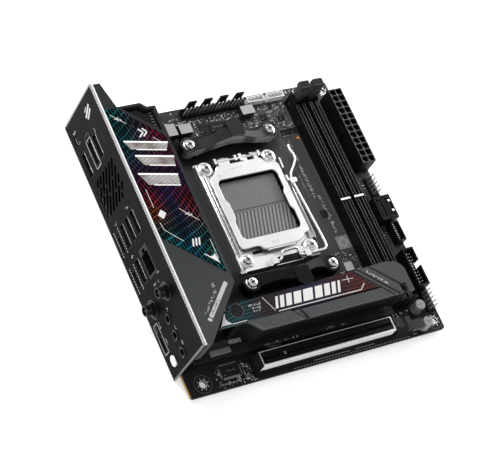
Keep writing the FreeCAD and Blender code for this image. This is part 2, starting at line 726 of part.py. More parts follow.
def make_pcie_slot():
    x0, x1, y0, y1 = PCIE
    low = BOARD_TOP
    middle = (y0 + y1) / 2
    key_x = 54.6
    core = block((x0 + 0.6, y0 + 0.8, low), (x1 - x0 - 1.2, y1 - y0 - 1.6, PCIE_TOP - 0.4 - TOP))
    slots = [
        block((x0 + 1.8, middle - 0.9, TOP + 2.0), (key_x - x0 - 1.8, 1.8, 12)),
        block((key_x + 2.0, middle - 0.9, TOP + 2.0), (x1 - 1.8 - key_x - 2.0, 1.8, 12)),
    ]
    node("pcie_slot", cut(core, slots))
    shell = block((x0, y0, low), (x1 - x0, y1 - y0, PCIE_TOP - TOP))
    inside = block((x0 + 0.6, y0 + 0.8, 0), (x1 - x0 - 1.2, y1 - y0 - 1.6, 20))
    node("pcie_slot_shell", cut(shell, [inside]))
    rows = []
    pitch = 1.0
    for start, count in ((x0 + 2.4, 9), (key_x + 2.8, 71)):
        for y in (middle - 0.9, middle + 0.55):
            places = [Vector(start + i * pitch, y, TOP + 2.0) for i in range(count)]
            rows += [Part.makeBox(0.5, 0.35, 6.6, place) for place in places]
    node("pcie_contacts", fixed_shape(Part.makeCompound(rows)))


def make_pcie_latch():
    """Card catch at the slot's end: its outer end is pushed down and the hook lifts."""
    x_axis, z_axis = PCIE_LATCH_AXIS
    y0, y1 = 5.6, 10.2
    hook = block((x_axis - 1.9, y0, z_axis - 1.6), (3.6, y1 - y0, 8.0))
    nose = block((x_axis - 1.9, y0, z_axis + 4.4), (3.6, y1 - y0, 2.8))
    arm = block((x_axis + 1.0, y0, z_axis + 0.6), (8.4, y1 - y0, 2.6))
    neck = block((x_axis + 7.4, 2.4, z_axis + 1.4), (3.4, y1 - 2.4, 2.8))
    pad_shape = block((x_axis + 9.6, 1.4, z_axis + 1.4), (8.6, 5.6, 2.8))
    trunnion = rod((x_axis, y0 - 1.3, z_axis), 1.0, y1 - y0 + 2.6, "y")
    node("pcie_latch", joined([hook, nose, arm, neck, pad_shape, trunnion]))
    cheeks = []
    for y in (y0 - 1.6, y1 + 0.3):
        cheek = block((131.2, y, BOARD_TOP), (5.0, 1.3, 7.6))
        cheeks.append(cut(cheek, [rod((x_axis, y - 0.5, z_axis), 1.06, 2.4, "y")]))
    node("pcie_latch_posts", together(cheeks))


def make_memory_slots():
    width = cell("slot_width")
    key_y = 88.5
    for letter, x in zip("ab", DIMM_X):
        left = f"{x} - {width} / 2"
        height = f"{cell('slot_top')} - {BOARD_TOP}"
        body = block((left, DIMM_NEAR_Y, BOARD_TOP), (width, DIMM_FAR_Y - DIMM_NEAR_Y, height))
        channels = [
            block((x - 0.75, DIMM_NEAR_Y + 1.8, 4.0), (1.5, key_y - 0.9 - DIMM_NEAR_Y - 1.8, 20)),
            block((x - 0.75, key_y + 0.9, 4.0), (1.5, DIMM_FAR_Y - key_y + 1, 20)),
            block((x - 2.9, DIMM_NEAR_Y + 5, 10.4), (1.3, DIMM_FAR_Y - DIMM_NEAR_Y - 10, 5)),
            block((x + 1.6, DIMM_NEAR_Y + 5, 10.4), (1.3, DIMM_FAR_Y - DIMM_NEAR_Y - 10, 5)),
        ]
        y_axis, z_axis = DIMM_LATCH_AXIS
        sides = [f"{x} + {side} * ({width} / 2 - 0.45) - 0.45" for side in (-1, 1)]
        towers = [block((side, DIMM_FAR_Y, BOARD_TOP), (0.9, 7.6, 11.4)) for side in sides]
        bearing = rod((x - 5, y_axis, z_axis), 1.06, 10, "x")
        near_post = block((x - 3.4, DIMM_NEAR_Y - 1.2, BOARD_TOP), (6.8, 1.2, 14.4))
        near_notch = block((x - 0.75, DIMM_NEAR_Y - 2, 4.0), (1.5, 4.5, 20))
        removed = channels + [bearing, near_notch]
        node(f"dimm_slot_{letter}", cut(joined([body, near_post] + towers), removed))
    pitch = 0.85
    pins = []
    for x in DIMM_X:
        for y_start, count in ((DIMM_NEAR_Y + 3.0, 76), (key_y + 1.9, 72)):
            for side in (-0.75, 0.5):
                pins += [Part.makeBox(0.25, 0.4, 5.0, Vector(x + side, y_start + i * pitch, 4.6))
                         for i in range(count)]
    node("dimm_contacts", fixed_shape(Part.makeCompound(pins)))


def make_memory_latches():
    """Far-end card latches on trunnions, swinging away from the slot."""
    y_axis, z_axis = DIMM_LATCH_AXIS
    half = size("slot_width") / 2
    for letter, x in zip("ab", DIMM_X):
        stem_outline = [(-1.7, -2.2), (1.9, -2.2), (2.6, 8.0), (3.6, 15.2), (3.6, 18.4), (-1.2, 18.4),
                        (-1.2, 16.4), (-2.9, 12.8), (-2.9, 10.4), (-1.7, 9.4)]
        corners = [Vector(0, y, z) for y, z in stem_outline]
        stem = Part.Face(Part.makePolygon(corners + corners[:1])).extrude(Vector(2 * LATCH_HALF - 0.4, 0, 0))
        stem.translate(Vector(-LATCH_HALF + 0.2, 0, 0))
        head = Part.makeBox(2 * half, 4.6, 3.4, Vector(-half, -1.2, 15.0))
        trunnions = Part.makeCylinder(1.0, 2 * half - 0.2, Vector(-half + 0.1, 0, 0), X_AXIS)
        shape = stem.fuse([head, trunnions])
        for i in range(3):
            groove = Part.makeBox(2 * half + 2, 0.5, 0.6, Vector(-half - 1, 0.0 + i * 1.1, 17.9))
            shape = shape.cut(groove)
        shape = shape.removeSplitter()
        shape.translate(Vector(x, y_axis, z_axis))
        node(f"dimm_latch_{letter}", fixed_shape(shape))


# ---- power and signal connectors -----------------------------------------------------------

def socket_housing(corner, count, pitch, wall, height, floor=2.0):
    """A moulded housing with a square pocket for each contact."""
    x, y = corner
    opening = pitch - wall
    outer = Part.makeBox(count[0] * pitch + wall, count[1] * pitch + wall, height, Vector(x, y, TOP))
    places = [
        Vector(x + wall + i * pitch, y + wall + j * pitch, TOP + floor)
        for i in range(count[0]) for j in range(count[1])
    ]
    pockets = [Part.makeBox(opening, opening, height, place) for place in places]
    return outer.cut(Part.makeCompound(pockets))


def pins(points, low, width, height):
    half = width / 2
    return [Part.makeBox(width, width, height, Vector(x - half, y - half, low)) for x, y in points]


def make_power_connectors():
    pitch, wall, floor = 4.2, 0.8, 2.0
    main = (160.2, 106.4)
    height = size("plug_height")
    shape = socket_housing(main, (2, 12), pitch, wall, height, floor)
    ramp = Part.makeBox(1.1, 6.0, 5.0, Vector(main[0] - 1.1, main[1] + 22.6, TOP + 5.0))
    node("atx_power_connector", fixed_shape(shape.fuse(ramp).removeSplitter()))
    aux = (9.0, 159.2)
    shape = socket_housing(aux, (4, 2), pitch, wall, height, floor)
    node("cpu_power_connector", fixed_shape(shape))
    offset = wall + (pitch - wall) / 2
    places = grid(main[0] + offset, pitch, 2, main[1] + offset, pitch, 12)
    places += grid(aux[0] + offset, pitch, 4, aux[1] + offset, pitch, 2)
    node("power_pins", fixed_shape(Part.makeCompound(pins(places, TOP + floor, 1.1, 8.2))))


FAN_X = [66.4 + i * 10.7 for i in range(4)]
LIGHT_X = (110.9, 124.6)
BUS_X, BUS_Y = 160.2, 25.4


def make_small_headers():
    """Fan, light, front-panel and general pin headers along the board's edges."""
    fans, header_pins = [], []
    for x in FAN_X:
        base = Part.makeBox(10.2, 4.4, 2.6, Vector(x, 163.2, TOP))
        tab = Part.makeBox(5.2, 1.1, 8.6, Vector(x + 2.9, 166.9, TOP + 2.6))
        rail = Part.makeBox(1.2, 1.0, 7.2, Vector(x + 4.9, 165.9, TOP + 2.6))
        back = Part.makeBox(10.2, 0.5, 1.0, Vector(x, 167.1, TOP + 2.6))
        fans.append(base.fuse([back, tab, rail]).removeSplitter())
        header_pins += pins([(x + 1.3 + i * 2.54, 164.6) for i in range(4)], TOP + 2.6, 0.64, 7.0)
    node("fan_headers", fixed_shape(Part.makeCompound(fans)))
    lights = []
    for x in LIGHT_X:
        outer = Part.makeBox(11.4, 3.6, 4.6, Vector(x, 163.6, TOP))
        well = Part.makeBox(10.4, 2.6, 4.6, Vector(x + 0.5, 164.1, TOP + 1.4))
        lights.append(outer.cut(well))
        header_pins += pins([(x + 1.9 + i * 2.54, 165.4) for i in range(4)], TOP + 1.4, 0.64, 4.4)
    node("light_headers", fixed_shape(Part.makeCompound(lights)))
    bases = []
    for x, y, columns, rows in ((163.2, 89.0, 2, 5), (163.4, 11.8, 2, 5)):
        bases.append(Part.makeBox(columns * 2.54, rows * 2.54, 2.2, Vector(x, y, TOP)))
        header_pins += pins(grid(x + 1.27, 2.54, columns, y + 1.27, 2.54, rows), TOP + 2.2, 0.64, 6.0)
    node("pin_headers", fixed_shape(Part.makeCompound(bases)))
    header_pins += pins(grid(BUS_X + 2.7, 2.0, 2, BUS_Y + 3.3, 2.0, 10), TOP + 1.8, 0.5, 5.6)
    node("header_pins", fixed_shape(Part.makeCompound(header_pins)))


def make_edge_connectors():
    """Storage sockets and the two front-panel bus headers on the front edge."""
    sata = []
    for x in (158.4, 164.2):
        outer = Part.makeBox(5.4, 15.6, 8.4, Vector(x, 70.2, TOP))
        well = Part.makeBox(3.9, 11.4, 7.0, Vector(x + 0.7, 72.3, TOP + 1.6))
        key = Part.makeBox(1.6, 1.8, 7.0, Vector(x + 0.7, 83.2, TOP + 1.6))
        tongue = Part.makeBox(1.2, 9.6, 6.4, Vector(x + 2.1, 73.2, TOP + 1.6))
        sata.append(outer.cut([well, key]).fuse(tongue).removeSplitter())
    node("sata_ports", fixed_shape(Part.makeCompound(sata)))
    x, y, height = BUS_X, BUS_Y, 9.4
    housing = Part.makeBox(7.4, 24.6, height, Vector(x, y, TOP))
    well = Part.makeBox(5.6, 22.4, height, Vector(x + 0.9, y + 1.1, TOP + 1.8))
    notch = Part.makeBox(2.0, 3.4, height, Vector(x + 6.4, y + 12.4, TOP + 3.0))
    node("usb3_header", fixed_shape(housing.cut([well, notch])))
    frame = Part.makeBox(5.6, 12.8, 6.4, Vector(163.2, 56.4, TOP))
    frame = frame.cut(Part.makeBox(3.9, 10.6, 6.4, Vector(164.05, 57.5, TOP + 1.2)))
    tongue = Part.makeBox(0.9, 8.8, 4.0, Vector(165.55, 58.4, TOP + 1.2))
    node("usbc_header", fixed_shape(frame.fuse(tongue).removeSplitter()))


# ---- small electrical parts ------------------------------------------------------------------

CHIPS = [
    # x low, y low, width, depth, height
    (22.6, 6.4, 11.4, 6.6, 1.3),
    (74.2, 151.2, 6.4, 5.4, 1.2),
    (81.4, 151.2, 11.2, 5.4, 1.2),
    (125.0, 140.0, 5.8, 3.8, 1.0),
    (131.5, 140.0, 4.7, 3.8, 1.0),
    (124.3, 47.6, 6.2, 6.2, 1.0),
    (116.4, 152.4, 4.0, 4.0, 0.9),
    (44.2, 158.6, 5.0, 4.0, 1.0),
    (126.0, 84.0, 4.0, 4.0, 0.9),
    (152.9, 92.4, 5.0, 5.0, 0.9),
    (153.2, 60.4, 4.6, 6.4, 1.2),
]
INDUCTORS = [(50.9, 151.0, 6.0, 7.6), (58.9, 151.0, 8.0, 6.0), (102.6, 155.6, 8.4, 5.6)]
CANS = [(156.5, 15.5), (156.2, 4.6)]


def make_small_parts():
    node("chips", fixed_shape(Part.makeCompound([
        Part.makeBox(width, depth, height, Vector(x, y, TOP)) for x, y, width, depth, height in CHIPS])))
    node("chipset", block((80.0, 40.0, BOARD_TOP), (17.0, 6.0, 1.6)))
    coils = [Part.makeBox(width, depth, 6.4, Vector(x, y, TOP)) for x, y, width, depth in INDUCTORS]
    coils += [Part.makeBox(7.2, 7.2, 6.4, Vector(x, y, TOP)) for x, y in grid(19.0, 9.6, 2, 63.0, 10.6, 8)]
    node("power_inductors", fixed_shape(Part.makeCompound(coils)))
    cans = [turned([(0, 0), (3.3, 0), (3.3, 0.8), (3.1, 1.0), (3.1, 7.0), (2.8, 7.4), (0, 7.4)], (x, y, TOP))
            for x, y in CANS]
    node("electrolytic_caps", fixed_shape(Part.makeCompound(cans)))
    cell_shape = turned([(0, 0), (9.0, 0), (10.0, 0.5), (10.0, 3.2), (0, 3.2)], (60.0, 26.0, TOP))
    holder = Part.makeCylinder(11.0, 2.4, Vector(60.0, 26.0, TOP)).cut(
        Part.makeCylinder(10.2, 2.4, Vector(60.0, 26.0, TOP)))
    node("coin_cell", fixed_shape(Part.makeCompound([cell_shape, holder])))


def export_nodes():
    """Check every object and every sub-part, then write one file for each sub-part."""
    doc.recompute()
    for item in doc.Objects:
        if {"Invalid", "Error"} & set(item.State):
            raise RuntimeError(f"{item.Label} is {item.State}")
    for item in NODES:
        if item.Shape.isNull() or not item.Shape.isValid():
            raise RuntimeError(f"{item.Label} has no valid shape")
    os.makedirs("parts", exist_ok=True)
    for item in NODES:
        item.Shape.exportStep(os.path.join("parts", item.Label + ".step"))
    print(f"{len(NODES)} sub-parts written")


make_board()
make_backplate()
make_shield()
make_ports()
make_lan_port()
make_antenna_connectors()
make_audio_jacks()
make_buttons()
make_cover()
make_cover_plate()
make_regulator_heatsink()
make_storage_stack()
make_socket()
make_clamp_frame()
make_load_plate()
make_lever()
make_clamp_screws()
make_cooler_brackets()
make_pcie_slot()
make_pcie_latch()
make_memory_slots()
make_memory_latches()
make_power_connectors()
make_small_headers()
make_edge_connectors()
make_small_parts()
export_nodes()
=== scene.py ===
import math
import random

import bmesh
import bpy
from mathutils import Matrix, Vector


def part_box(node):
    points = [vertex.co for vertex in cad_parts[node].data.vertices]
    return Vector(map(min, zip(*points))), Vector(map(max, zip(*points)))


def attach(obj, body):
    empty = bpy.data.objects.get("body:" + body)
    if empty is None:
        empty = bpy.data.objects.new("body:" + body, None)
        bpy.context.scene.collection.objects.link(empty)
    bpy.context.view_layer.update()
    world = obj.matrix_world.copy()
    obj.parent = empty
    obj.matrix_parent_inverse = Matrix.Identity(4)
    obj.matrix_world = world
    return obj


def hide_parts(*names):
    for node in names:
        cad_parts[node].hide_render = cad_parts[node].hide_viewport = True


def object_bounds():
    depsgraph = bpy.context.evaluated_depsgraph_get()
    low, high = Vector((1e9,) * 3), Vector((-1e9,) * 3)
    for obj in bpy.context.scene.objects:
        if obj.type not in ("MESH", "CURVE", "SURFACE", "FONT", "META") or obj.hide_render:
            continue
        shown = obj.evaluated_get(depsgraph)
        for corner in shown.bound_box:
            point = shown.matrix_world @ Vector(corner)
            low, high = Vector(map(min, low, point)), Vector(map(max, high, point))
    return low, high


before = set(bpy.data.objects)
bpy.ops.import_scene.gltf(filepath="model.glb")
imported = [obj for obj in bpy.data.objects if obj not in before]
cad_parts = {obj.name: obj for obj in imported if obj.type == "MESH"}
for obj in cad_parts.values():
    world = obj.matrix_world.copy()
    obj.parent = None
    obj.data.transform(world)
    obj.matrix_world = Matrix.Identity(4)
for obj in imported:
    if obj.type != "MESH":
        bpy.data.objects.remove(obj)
cad_low, cad_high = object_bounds()

# Board coordinates are millimetres from the board's corner: x from the rear edge,
# y from the expansion slot edge and z up from the board's underside.
MM = 0.001
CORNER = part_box("pcb")[0]
BOARD_TOP = (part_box("pcb")[1].z - CORNER.z) / MM
FIXED = "board_body"
CHANCE = random.Random(7)


def at(x, y, z):
    """A point in board millimetres as a place in the frame, in metres."""
    return CORNER + Vector((x, y, z)) * MM


def extent(name):
    """A CAD node's box in board millimetres: (x, y, z low) and (x, y, z high)."""
    low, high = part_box(name)
    return (low - CORNER) / MM, (high - CORNER) / MM


# ---- camera and light -----------------------------------------------------------------

def make_camera():
    data = bpy.data.cameras.new("camera")
    data.sensor_fit = "HORIZONTAL"
    data.sensor_width = 36.0
    data.lens = 135.81
    data.clip_start = 0.05
    data.clip_end = 20.0
    camera = bpy.data.objects.new("camera", data)
    right = Vector((0.842185, -0.395350, 0.366637))
    forward = Vector((0.502614, 0.329457, -0.799273))
    up = right.cross(forward)
    turn = Matrix((right, up, -forward)).transposed().to_4x4()
    camera.matrix_world = Matrix.Translation(at(-457.3, -261.8, 854.4)) @ turn
    bpy.context.scene.collection.objects.link(camera)
    bpy.context.scene.camera = camera


def area_light(name, place, target, side, power, colour=(1, 1, 1)):
    data = bpy.data.lights.new(name, "AREA")
    data.shape = "RECTANGLE"
    data.size, data.size_y = side
    data.energy = power
    data.color = colour
    light = bpy.data.objects.new(name, data)
    light.location = place
    light.rotation_mode = "QUATERNION"
    light.rotation_quaternion = (Vector(target) - Vector(place)).to_track_quat("-Z", "Y")
    bpy.context.scene.collection.objects.link(light)


def make_studio():
    """White surroundings, large soft lamps and a pale floor just under the lowest part."""
    world = bpy.data.worlds.new("studio")
    world.use_nodes = True
    background = world.node_tree.nodes["Background"]
    background.inputs["Color"].default_value = (1, 1, 1, 1)
    background.inputs["Strength"].default_value = 0.55
    bpy.context.scene.world = world
    centre = at(85, 85, 10)
    area_light("key_light", centre + Vector((-0.25, 0.75, 0.85)), centre, (0.7, 0.5), 9)
    area_light("fill_light", centre + Vector((-0.9, -0.5, 0.6)), centre, (0.8, 0.6), 5)
    area_light("rim_light", centre + Vector((0.9, 0.4, 0.5)), centre, (0.6, 0.4), 5)
    mesh = bpy.data.meshes.new("floor")
    half, level = 6.0, cad_low.z - 0.0002
    mesh.from_pydata([(-half, -half, level), (half, -half, level), (half, half, level), (-half, half, level)],
                     [], [(0, 1, 2, 3)])
    floor = bpy.data.objects.new("floor", mesh)
    bpy.context.scene.collection.objects.link(floor)
    mesh.materials.append(pale_floor())
    bpy.context.scene.view_settings.view_transform = "Standard"


# ---- materials -------------------------------------------------------------------------

def new_material(name):
    material = bpy.data.materials.new(name)
    material.use_nodes = True
    tree = material.node_tree
    return material, tree, tree.nodes["Principled BSDF"]


def link(tree, source, target):
    tree.links.new(source, target)
    return target


def object_place(tree):
    return tree.nodes.new("ShaderNodeTexCoord").outputs["Object"]


def math_node(tree, operation, *values):
    """A math node fed by sockets or numbers; returns its output."""
    node = tree.nodes.new("ShaderNodeMath")
    node.operation = operation
    for socket, value in zip(node.inputs, values):
        if isinstance(value, (int, float)):
            socket.default_value = value
        else:
            tree.links.new(value, socket)
    return node.outputs[0]


def noise(tree, vector, per_mm, detail=3.0, roughness=0.55):
    node = tree.nodes.new("ShaderNodeTexNoise")
    node.inputs["Scale"].default_value = per_mm / MM
    node.inputs["Detail"].default_value = detail
    node.inputs["Roughness"].default_value = roughness
    tree.links.new(vector, node.inputs["Vector"])
    return node.outputs["Fac"]


def remap(tree, value, low, high, new_low, new_high):
    node = tree.nodes.new("ShaderNodeMapRange")
    tree.links.new(value, node.inputs["Value"])
    for name, number in (("From Min", low), ("From Max", high), ("To Min", new_low), ("To Max", new_high)):
        node.inputs[name].default_value = number
    return node.outputs["Result"]


def mix_colour(tree, factor, first, second):
    node = tree.nodes.new("ShaderNodeMix")
    node.data_type = "RGBA"
    for socket, value in ((node.inputs[0], factor), (node.inputs[6], first), (node.inputs[7], second)):
        if isinstance(value, (int, float)):
            socket.default_value = value
        elif isinstance(value, tuple):
            socket.default_value = (*value, 1) if len(value) == 3 else value
        else:
            tree.links.new(value, socket)
    return node.outputs[2]


def bump(tree, shader, height, depth_mm, strength=0.6):
    node = tree.nodes.new("ShaderNodeBump")
    node.inputs["Strength"].default_value = strength
    node.inputs["Distance"].default_value = depth_mm * MM
    tree.links.new(height, node.inputs["Height"])
    tree.links.new(node.outputs["Normal"], shader.inputs["Normal"])


def surface(name, colour, rough, metal=0.0, grain=3.0, depth=0.03, vary=0.25, specular=0.5, coat=0.0,
            spread=0.12):
    """A finished surface: fine grain in relief, slow changes of tone and of roughness."""
    material, tree, shader = new_material(name)
    shader.inputs["Metallic"].default_value = metal
    shader.inputs["Specular IOR Level"].default_value = specular
    shader.inputs["Coat Weight"].default_value = coat
    shader.inputs["Coat Roughness"].default_value = 0.2
    place = object_place(tree)
    fine = noise(tree, place, grain, 4.0, 0.6)
    slow = noise(tree, place, 0.05, 2.0)
    darker = tuple(c * (1 - vary) for c in colour)
    lighter = tuple(min(1.0, c * (1 + vary)) for c in colour)
    tone = math_node(tree, "ADD", math_node(tree, "MULTIPLY", fine, 0.6),
                     math_node(tree, "MULTIPLY", slow, 0.4))
    spread_tone = remap(tree, tone, 0.3, 0.7, 0.0, 1.0)
    link(tree, mix_colour(tree, spread_tone, darker, lighter), shader.inputs["Base Color"])
    link(tree, remap(tree, slow, 0.3, 0.7, rough - spread / 2, rough + spread / 2),
         shader.inputs["Roughness"])
    if depth:
        bump(tree, shader, fine, depth)
    return material


def pale_floor():
    material, tree, shader = new_material("pale_floor")
    shader.inputs["Base Color"].default_value = (0.93, 0.93, 0.93, 1)
    shader.inputs["Roughness"].default_value = 0.9
    shader.inputs["Emission Color"].default_value = (1, 1, 1, 1)
    shader.inputs["Emission Strength"].default_value = 0.35
    return material


def stripes(tree, axis_value, pitch_mm, share):
    """1 on a line of the given share of the pitch, 0 between, from a coordinate in metres."""
    turns = math_node(tree, "FRACT", math_node(tree, "MULTIPLY", axis_value, 1 / (pitch_mm * MM)))
    return math_node(tree, "LESS_THAN", turns, share)


def soft_stripes(tree, axis_value, pitch_mm, share):
    """Like stripes, but a rounded hump of height across each line."""
    turns = math_node(tree, "FRACT", math_node(tree, "MULTIPLY", axis_value, 1 / (pitch_mm * MM)))
    away = math_node(tree, "ABSOLUTE", math_node(tree, "SUBTRACT", turns, 0.5))
    return remap(tree, away, share / 2, share / 2 + 0.12, 1.0, 0.0)


def split_place(tree, shift_mm=(0, 0, 0)):
    """Object coordinates measured from a point given in board millimetres, as x, y and z."""
    node = tree.nodes.new("ShaderNodeVectorMath")
    node.operation = "SUBTRACT"
    node.inputs[1].default_value = at(*shift_mm)
    link(tree, object_place(tree), node.inputs[0])
    parts = tree.nodes.new("ShaderNodeSeparateXYZ")
    link(tree, node.outputs[0], parts.inputs[0])
    return parts.outputs[0], parts.outputs[1], parts.outputs[2]


def relief(tree, shader, parts, depth_mm):
    """Bump from several height sockets added together."""
    height = parts[0]
    for part in parts[1:]:
        height = math_node(tree, "ADD", height, part)
    bump(tree, shader, height, depth_mm, 0.8)


def board_material():
    """Black solder mask with copper tracks in low relief under it."""
    material, tree, shader = new_material("solder_mask")
    place = object_place(tree)
    warp = tree.nodes.new("ShaderNodeTexVoronoi")
    warp.feature = "F1"
    warp.distance = "MANHATTAN"
    warp.inputs["Scale"].default_value = 0.11 / MM
    link(tree, place, warp.inputs["Vector"])
    x, y, z = split_place(tree)
    choice = math_node(tree, "GREATER_THAN", warp.outputs["Distance"], 0.32)
    along_x = stripes(tree, x, 0.9, 0.5)
    slant = stripes(tree, math_node(tree, "ADD", x, y), 1.3, 0.45)
    tracks = math_node(tree, "ADD", math_node(tree, "MULTIPLY", along_x, choice),
                       math_node(tree, "MULTIPLY", slant, math_node(tree, "SUBTRACT", 1.0, choice)))
    where = remap(tree, noise(tree, place, 0.035, 2.0), 0.48, 0.56, 0.0, 1.0)
    tracks = math_node(tree, "MULTIPLY", tracks, where)
    weave = noise(tree, place, 2.5, 2.0)
    tone = mix_colour(tree, tracks, (0.009, 0.0094, 0.0100), (0.018, 0.0188, 0.0196))
    blotch = remap(tree, noise(tree, place, 0.02, 2.0), 0.3, 0.7, 0.0, 0.35)
    masked = mix_colour(tree, blotch, tone, (0.012, 0.0125, 0.0135))
    # Painted reflection: the mask is paler away from the rear edge and the slot edge, standing in for the
    # lamps' sheen on it.
    pale = math_node(tree, "MULTIPLY", remap(tree, y, 25 * MM, 70 * MM, 0.0, 1.0),
                     remap(tree, x, 20 * MM, 125 * MM, 0.35, 1.0))
    masked = mix_colour(tree, math_node(tree, "MULTIPLY", pale, 0.8), masked, (0.060, 0.062, 0.066))
    # Painted shadow: the mask is darkened to near black in two bands along the cooler brackets, where they
    # shade the board.
    far_bracket_shadow = math_node(tree, "MULTIPLY", remap(tree, y, 128 * MM, 134 * MM, 0.0, 1.0),
                         remap(tree, y, 143 * MM, 150 * MM, 1.0, 0.0))
    near_bracket_shadow = math_node(tree, "MULTIPLY", remap(tree, y, 46 * MM, 50 * MM, 0.0, 1.0),
                          remap(tree, y, 60 * MM, 66 * MM, 1.0, 0.0))
    reach = math_node(tree, "MULTIPLY", remap(tree, x, 108 * MM, 121 * MM, 0.9, 0.0),
                      math_node(tree, "MAXIMUM", far_bracket_shadow, near_bracket_shadow))
    masked = mix_colour(tree, reach, masked, (0.0015, 0.0015, 0.0018))
    rim = math_node(tree, "LESS_THAN", x, 0.35 * MM)
    link(tree, mix_colour(tree, rim, masked, (0.36, 0.22, 0.07)), shader.inputs["Base Color"])
    shader.inputs["Specular IOR Level"].default_value = 0.12
    link(tree, remap(tree, weave, 0.2, 0.8, 0.36, 0.5), shader.inputs["Roughness"])
    relief(tree, shader, [tracks, math_node(tree, "MULTIPLY", weave, 0.25)], 0.03)
    return material


def sandblasted(name, colour, rough=0.5):
    return surface(name, colour, rough, metal=0.0, grain=2.2, depth=0.03, vary=0.16, specular=0.12)


def moulded(name, colour, rough=0.5):
    return surface(name, colour, rough, grain=3.5, depth=0.02, vary=0.2, specular=0.12)


def cover_material():
    """Sandblasted dark coat that pales toward the cover's near end, as its panel tilts to the light."""
    material = sandblasted("cover_coat", (0.018, 0.020, 0.022), 0.5)
    tree = material.node_tree
    shader = next(node for node in tree.nodes if node.type == "BSDF_PRINCIPLED")
    x, y, z = split_place(tree)
    grain = noise(tree, object_place(tree), 2.4, 3.0)
    near = remap(tree, y, 120 * MM, 25 * MM, 0.0, 1.0)
    coat = mix_colour(tree, near, (0.010, 0.012, 0.014), (0.038, 0.041, 0.044))
    link(tree, mix_colour(tree, remap(tree, grain, 0.3, 0.7, 0.0, 0.22), coat, (0.06, 0.062, 0.065)),
         shader.inputs["Base Color"])
    return material


def grid_print_material():
    """Black print crossed by a thin, bent grid whose colour drifts over the plate."""
    material, tree, shader = new_material("grid_print")
    x, y, z = split_place(tree)
    place = object_place(tree)
    bend = noise(tree, place, 0.02, 1.0)
    u = math_node(tree, "ADD", x, math_node(tree, "MULTIPLY", bend, 0.012))
    u = math_node(tree, "ADD", u, math_node(tree, "MULTIPLY", y, 0.3))
    v = math_node(tree, "ADD", math_node(tree, "MULTIPLY", y, 0.8), math_node(tree, "MULTIPLY", bend, 0.02))
    v = math_node(tree, "SUBTRACT", v, math_node(tree, "MULTIPLY", x, 0.5))
    lines = math_node(tree, "MAXIMUM", stripes(tree, u, 2.0, 0.1), stripes(tree, v, 3.4, 0.07))
    length = remap(tree, y, 50 * MM, 157 * MM, 0.0, 1.0)
    edges = []
    for stops in ([(0.0, (0.0, 0.30, 0.32)), (0.26, (0.02, 0.28, 0.3)), (0.36, (0.42, 0.10, 0.02)),
                   (0.47, (0.34, 0.01, 0.03)), (0.6, (0.10, 0.01, 0.10)), (0.78, (0.0, 0.16, 0.2)),
                   (1.0, (0.0, 0.36, 0.38))],
                  [(0.0, (0.0, 0.25, 0.3)), (0.25, (0.0, 0.12, 0.26)), (0.42, (0.01, 0.05, 0.2)),
                   (0.52, (0.08, 0.02, 0.2)), (0.75, (0.12, 0.05, 0.14)), (1.0, (0.1, 0.12, 0.18))],
                  [(0.0, (0.0, 0.28, 0.29)), (0.22, (0.02, 0.25, 0.27)), (0.33, (0.25, 0.07, 0.09)),
                   (0.42, (0.5, 0.01, 0.02)), (0.55, (0.06, 0.02, 0.22)), (0.72, (0.30, 0.01, 0.06)),
                   (0.85, (0.4, 0.01, 0.06)), (1.0, (0.3, 0.02, 0.1))]):
        ramp = tree.nodes.new("ShaderNodeValToRGB")
        link(tree, length, ramp.inputs[0])
        set_ramp(ramp.color_ramp, stops)
        edges.append(ramp.outputs[0])
    across = remap(tree, x, 0.0, 27.4 * MM, 0.0, 1.0)
    left = mix_colour(tree, remap(tree, across, 0.15, 0.5, 0.0, 1.0), edges[0], edges[1])
    tint = mix_colour(tree, remap(tree, across, 0.5, 0.85, 0.0, 1.0), left, edges[2])
    fade = remap(tree, noise(tree, place, 0.09, 1.0), 0.35, 0.65, 0.25, 0.9)
    tint = mix_colour(tree, fade, (0.004, 0.004, 0.005), tint)
    glow = remap(tree, noise(tree, place, 0.06, 2.0), 0.45, 0.66, 0.0, 0.012)
    ground = mix_colour(tree, glow, (0.0008, 0.0008, 0.0012), tint)
    link(tree, mix_colour(tree, lines, ground, tint), shader.inputs["Base Color"])
    shader.inputs["Specular IOR Level"].default_value = 0.03
    grain = noise(tree, place, 3.0, 3.0)
    link(tree, remap(tree, grain, 0.3, 0.7, 0.3, 0.42), shader.inputs["Roughness"])
    relief(tree, shader,
           [math_node(tree, "MULTIPLY", lines, 0.5), math_node(tree, "MULTIPLY", grain, 0.3)], 0.02)
    return material


def set_ramp(ramp, stops):
    while len(ramp.elements) > 1:
        ramp.elements.remove(ramp.elements[-1])
    ramp.elements[0].position = stops[0][0]
    ramp.elements[0].color = (*stops[0][1], 1)
    for position, colour in stops[1:]:
        ramp.elements.new(position).color = (*colour, 1)


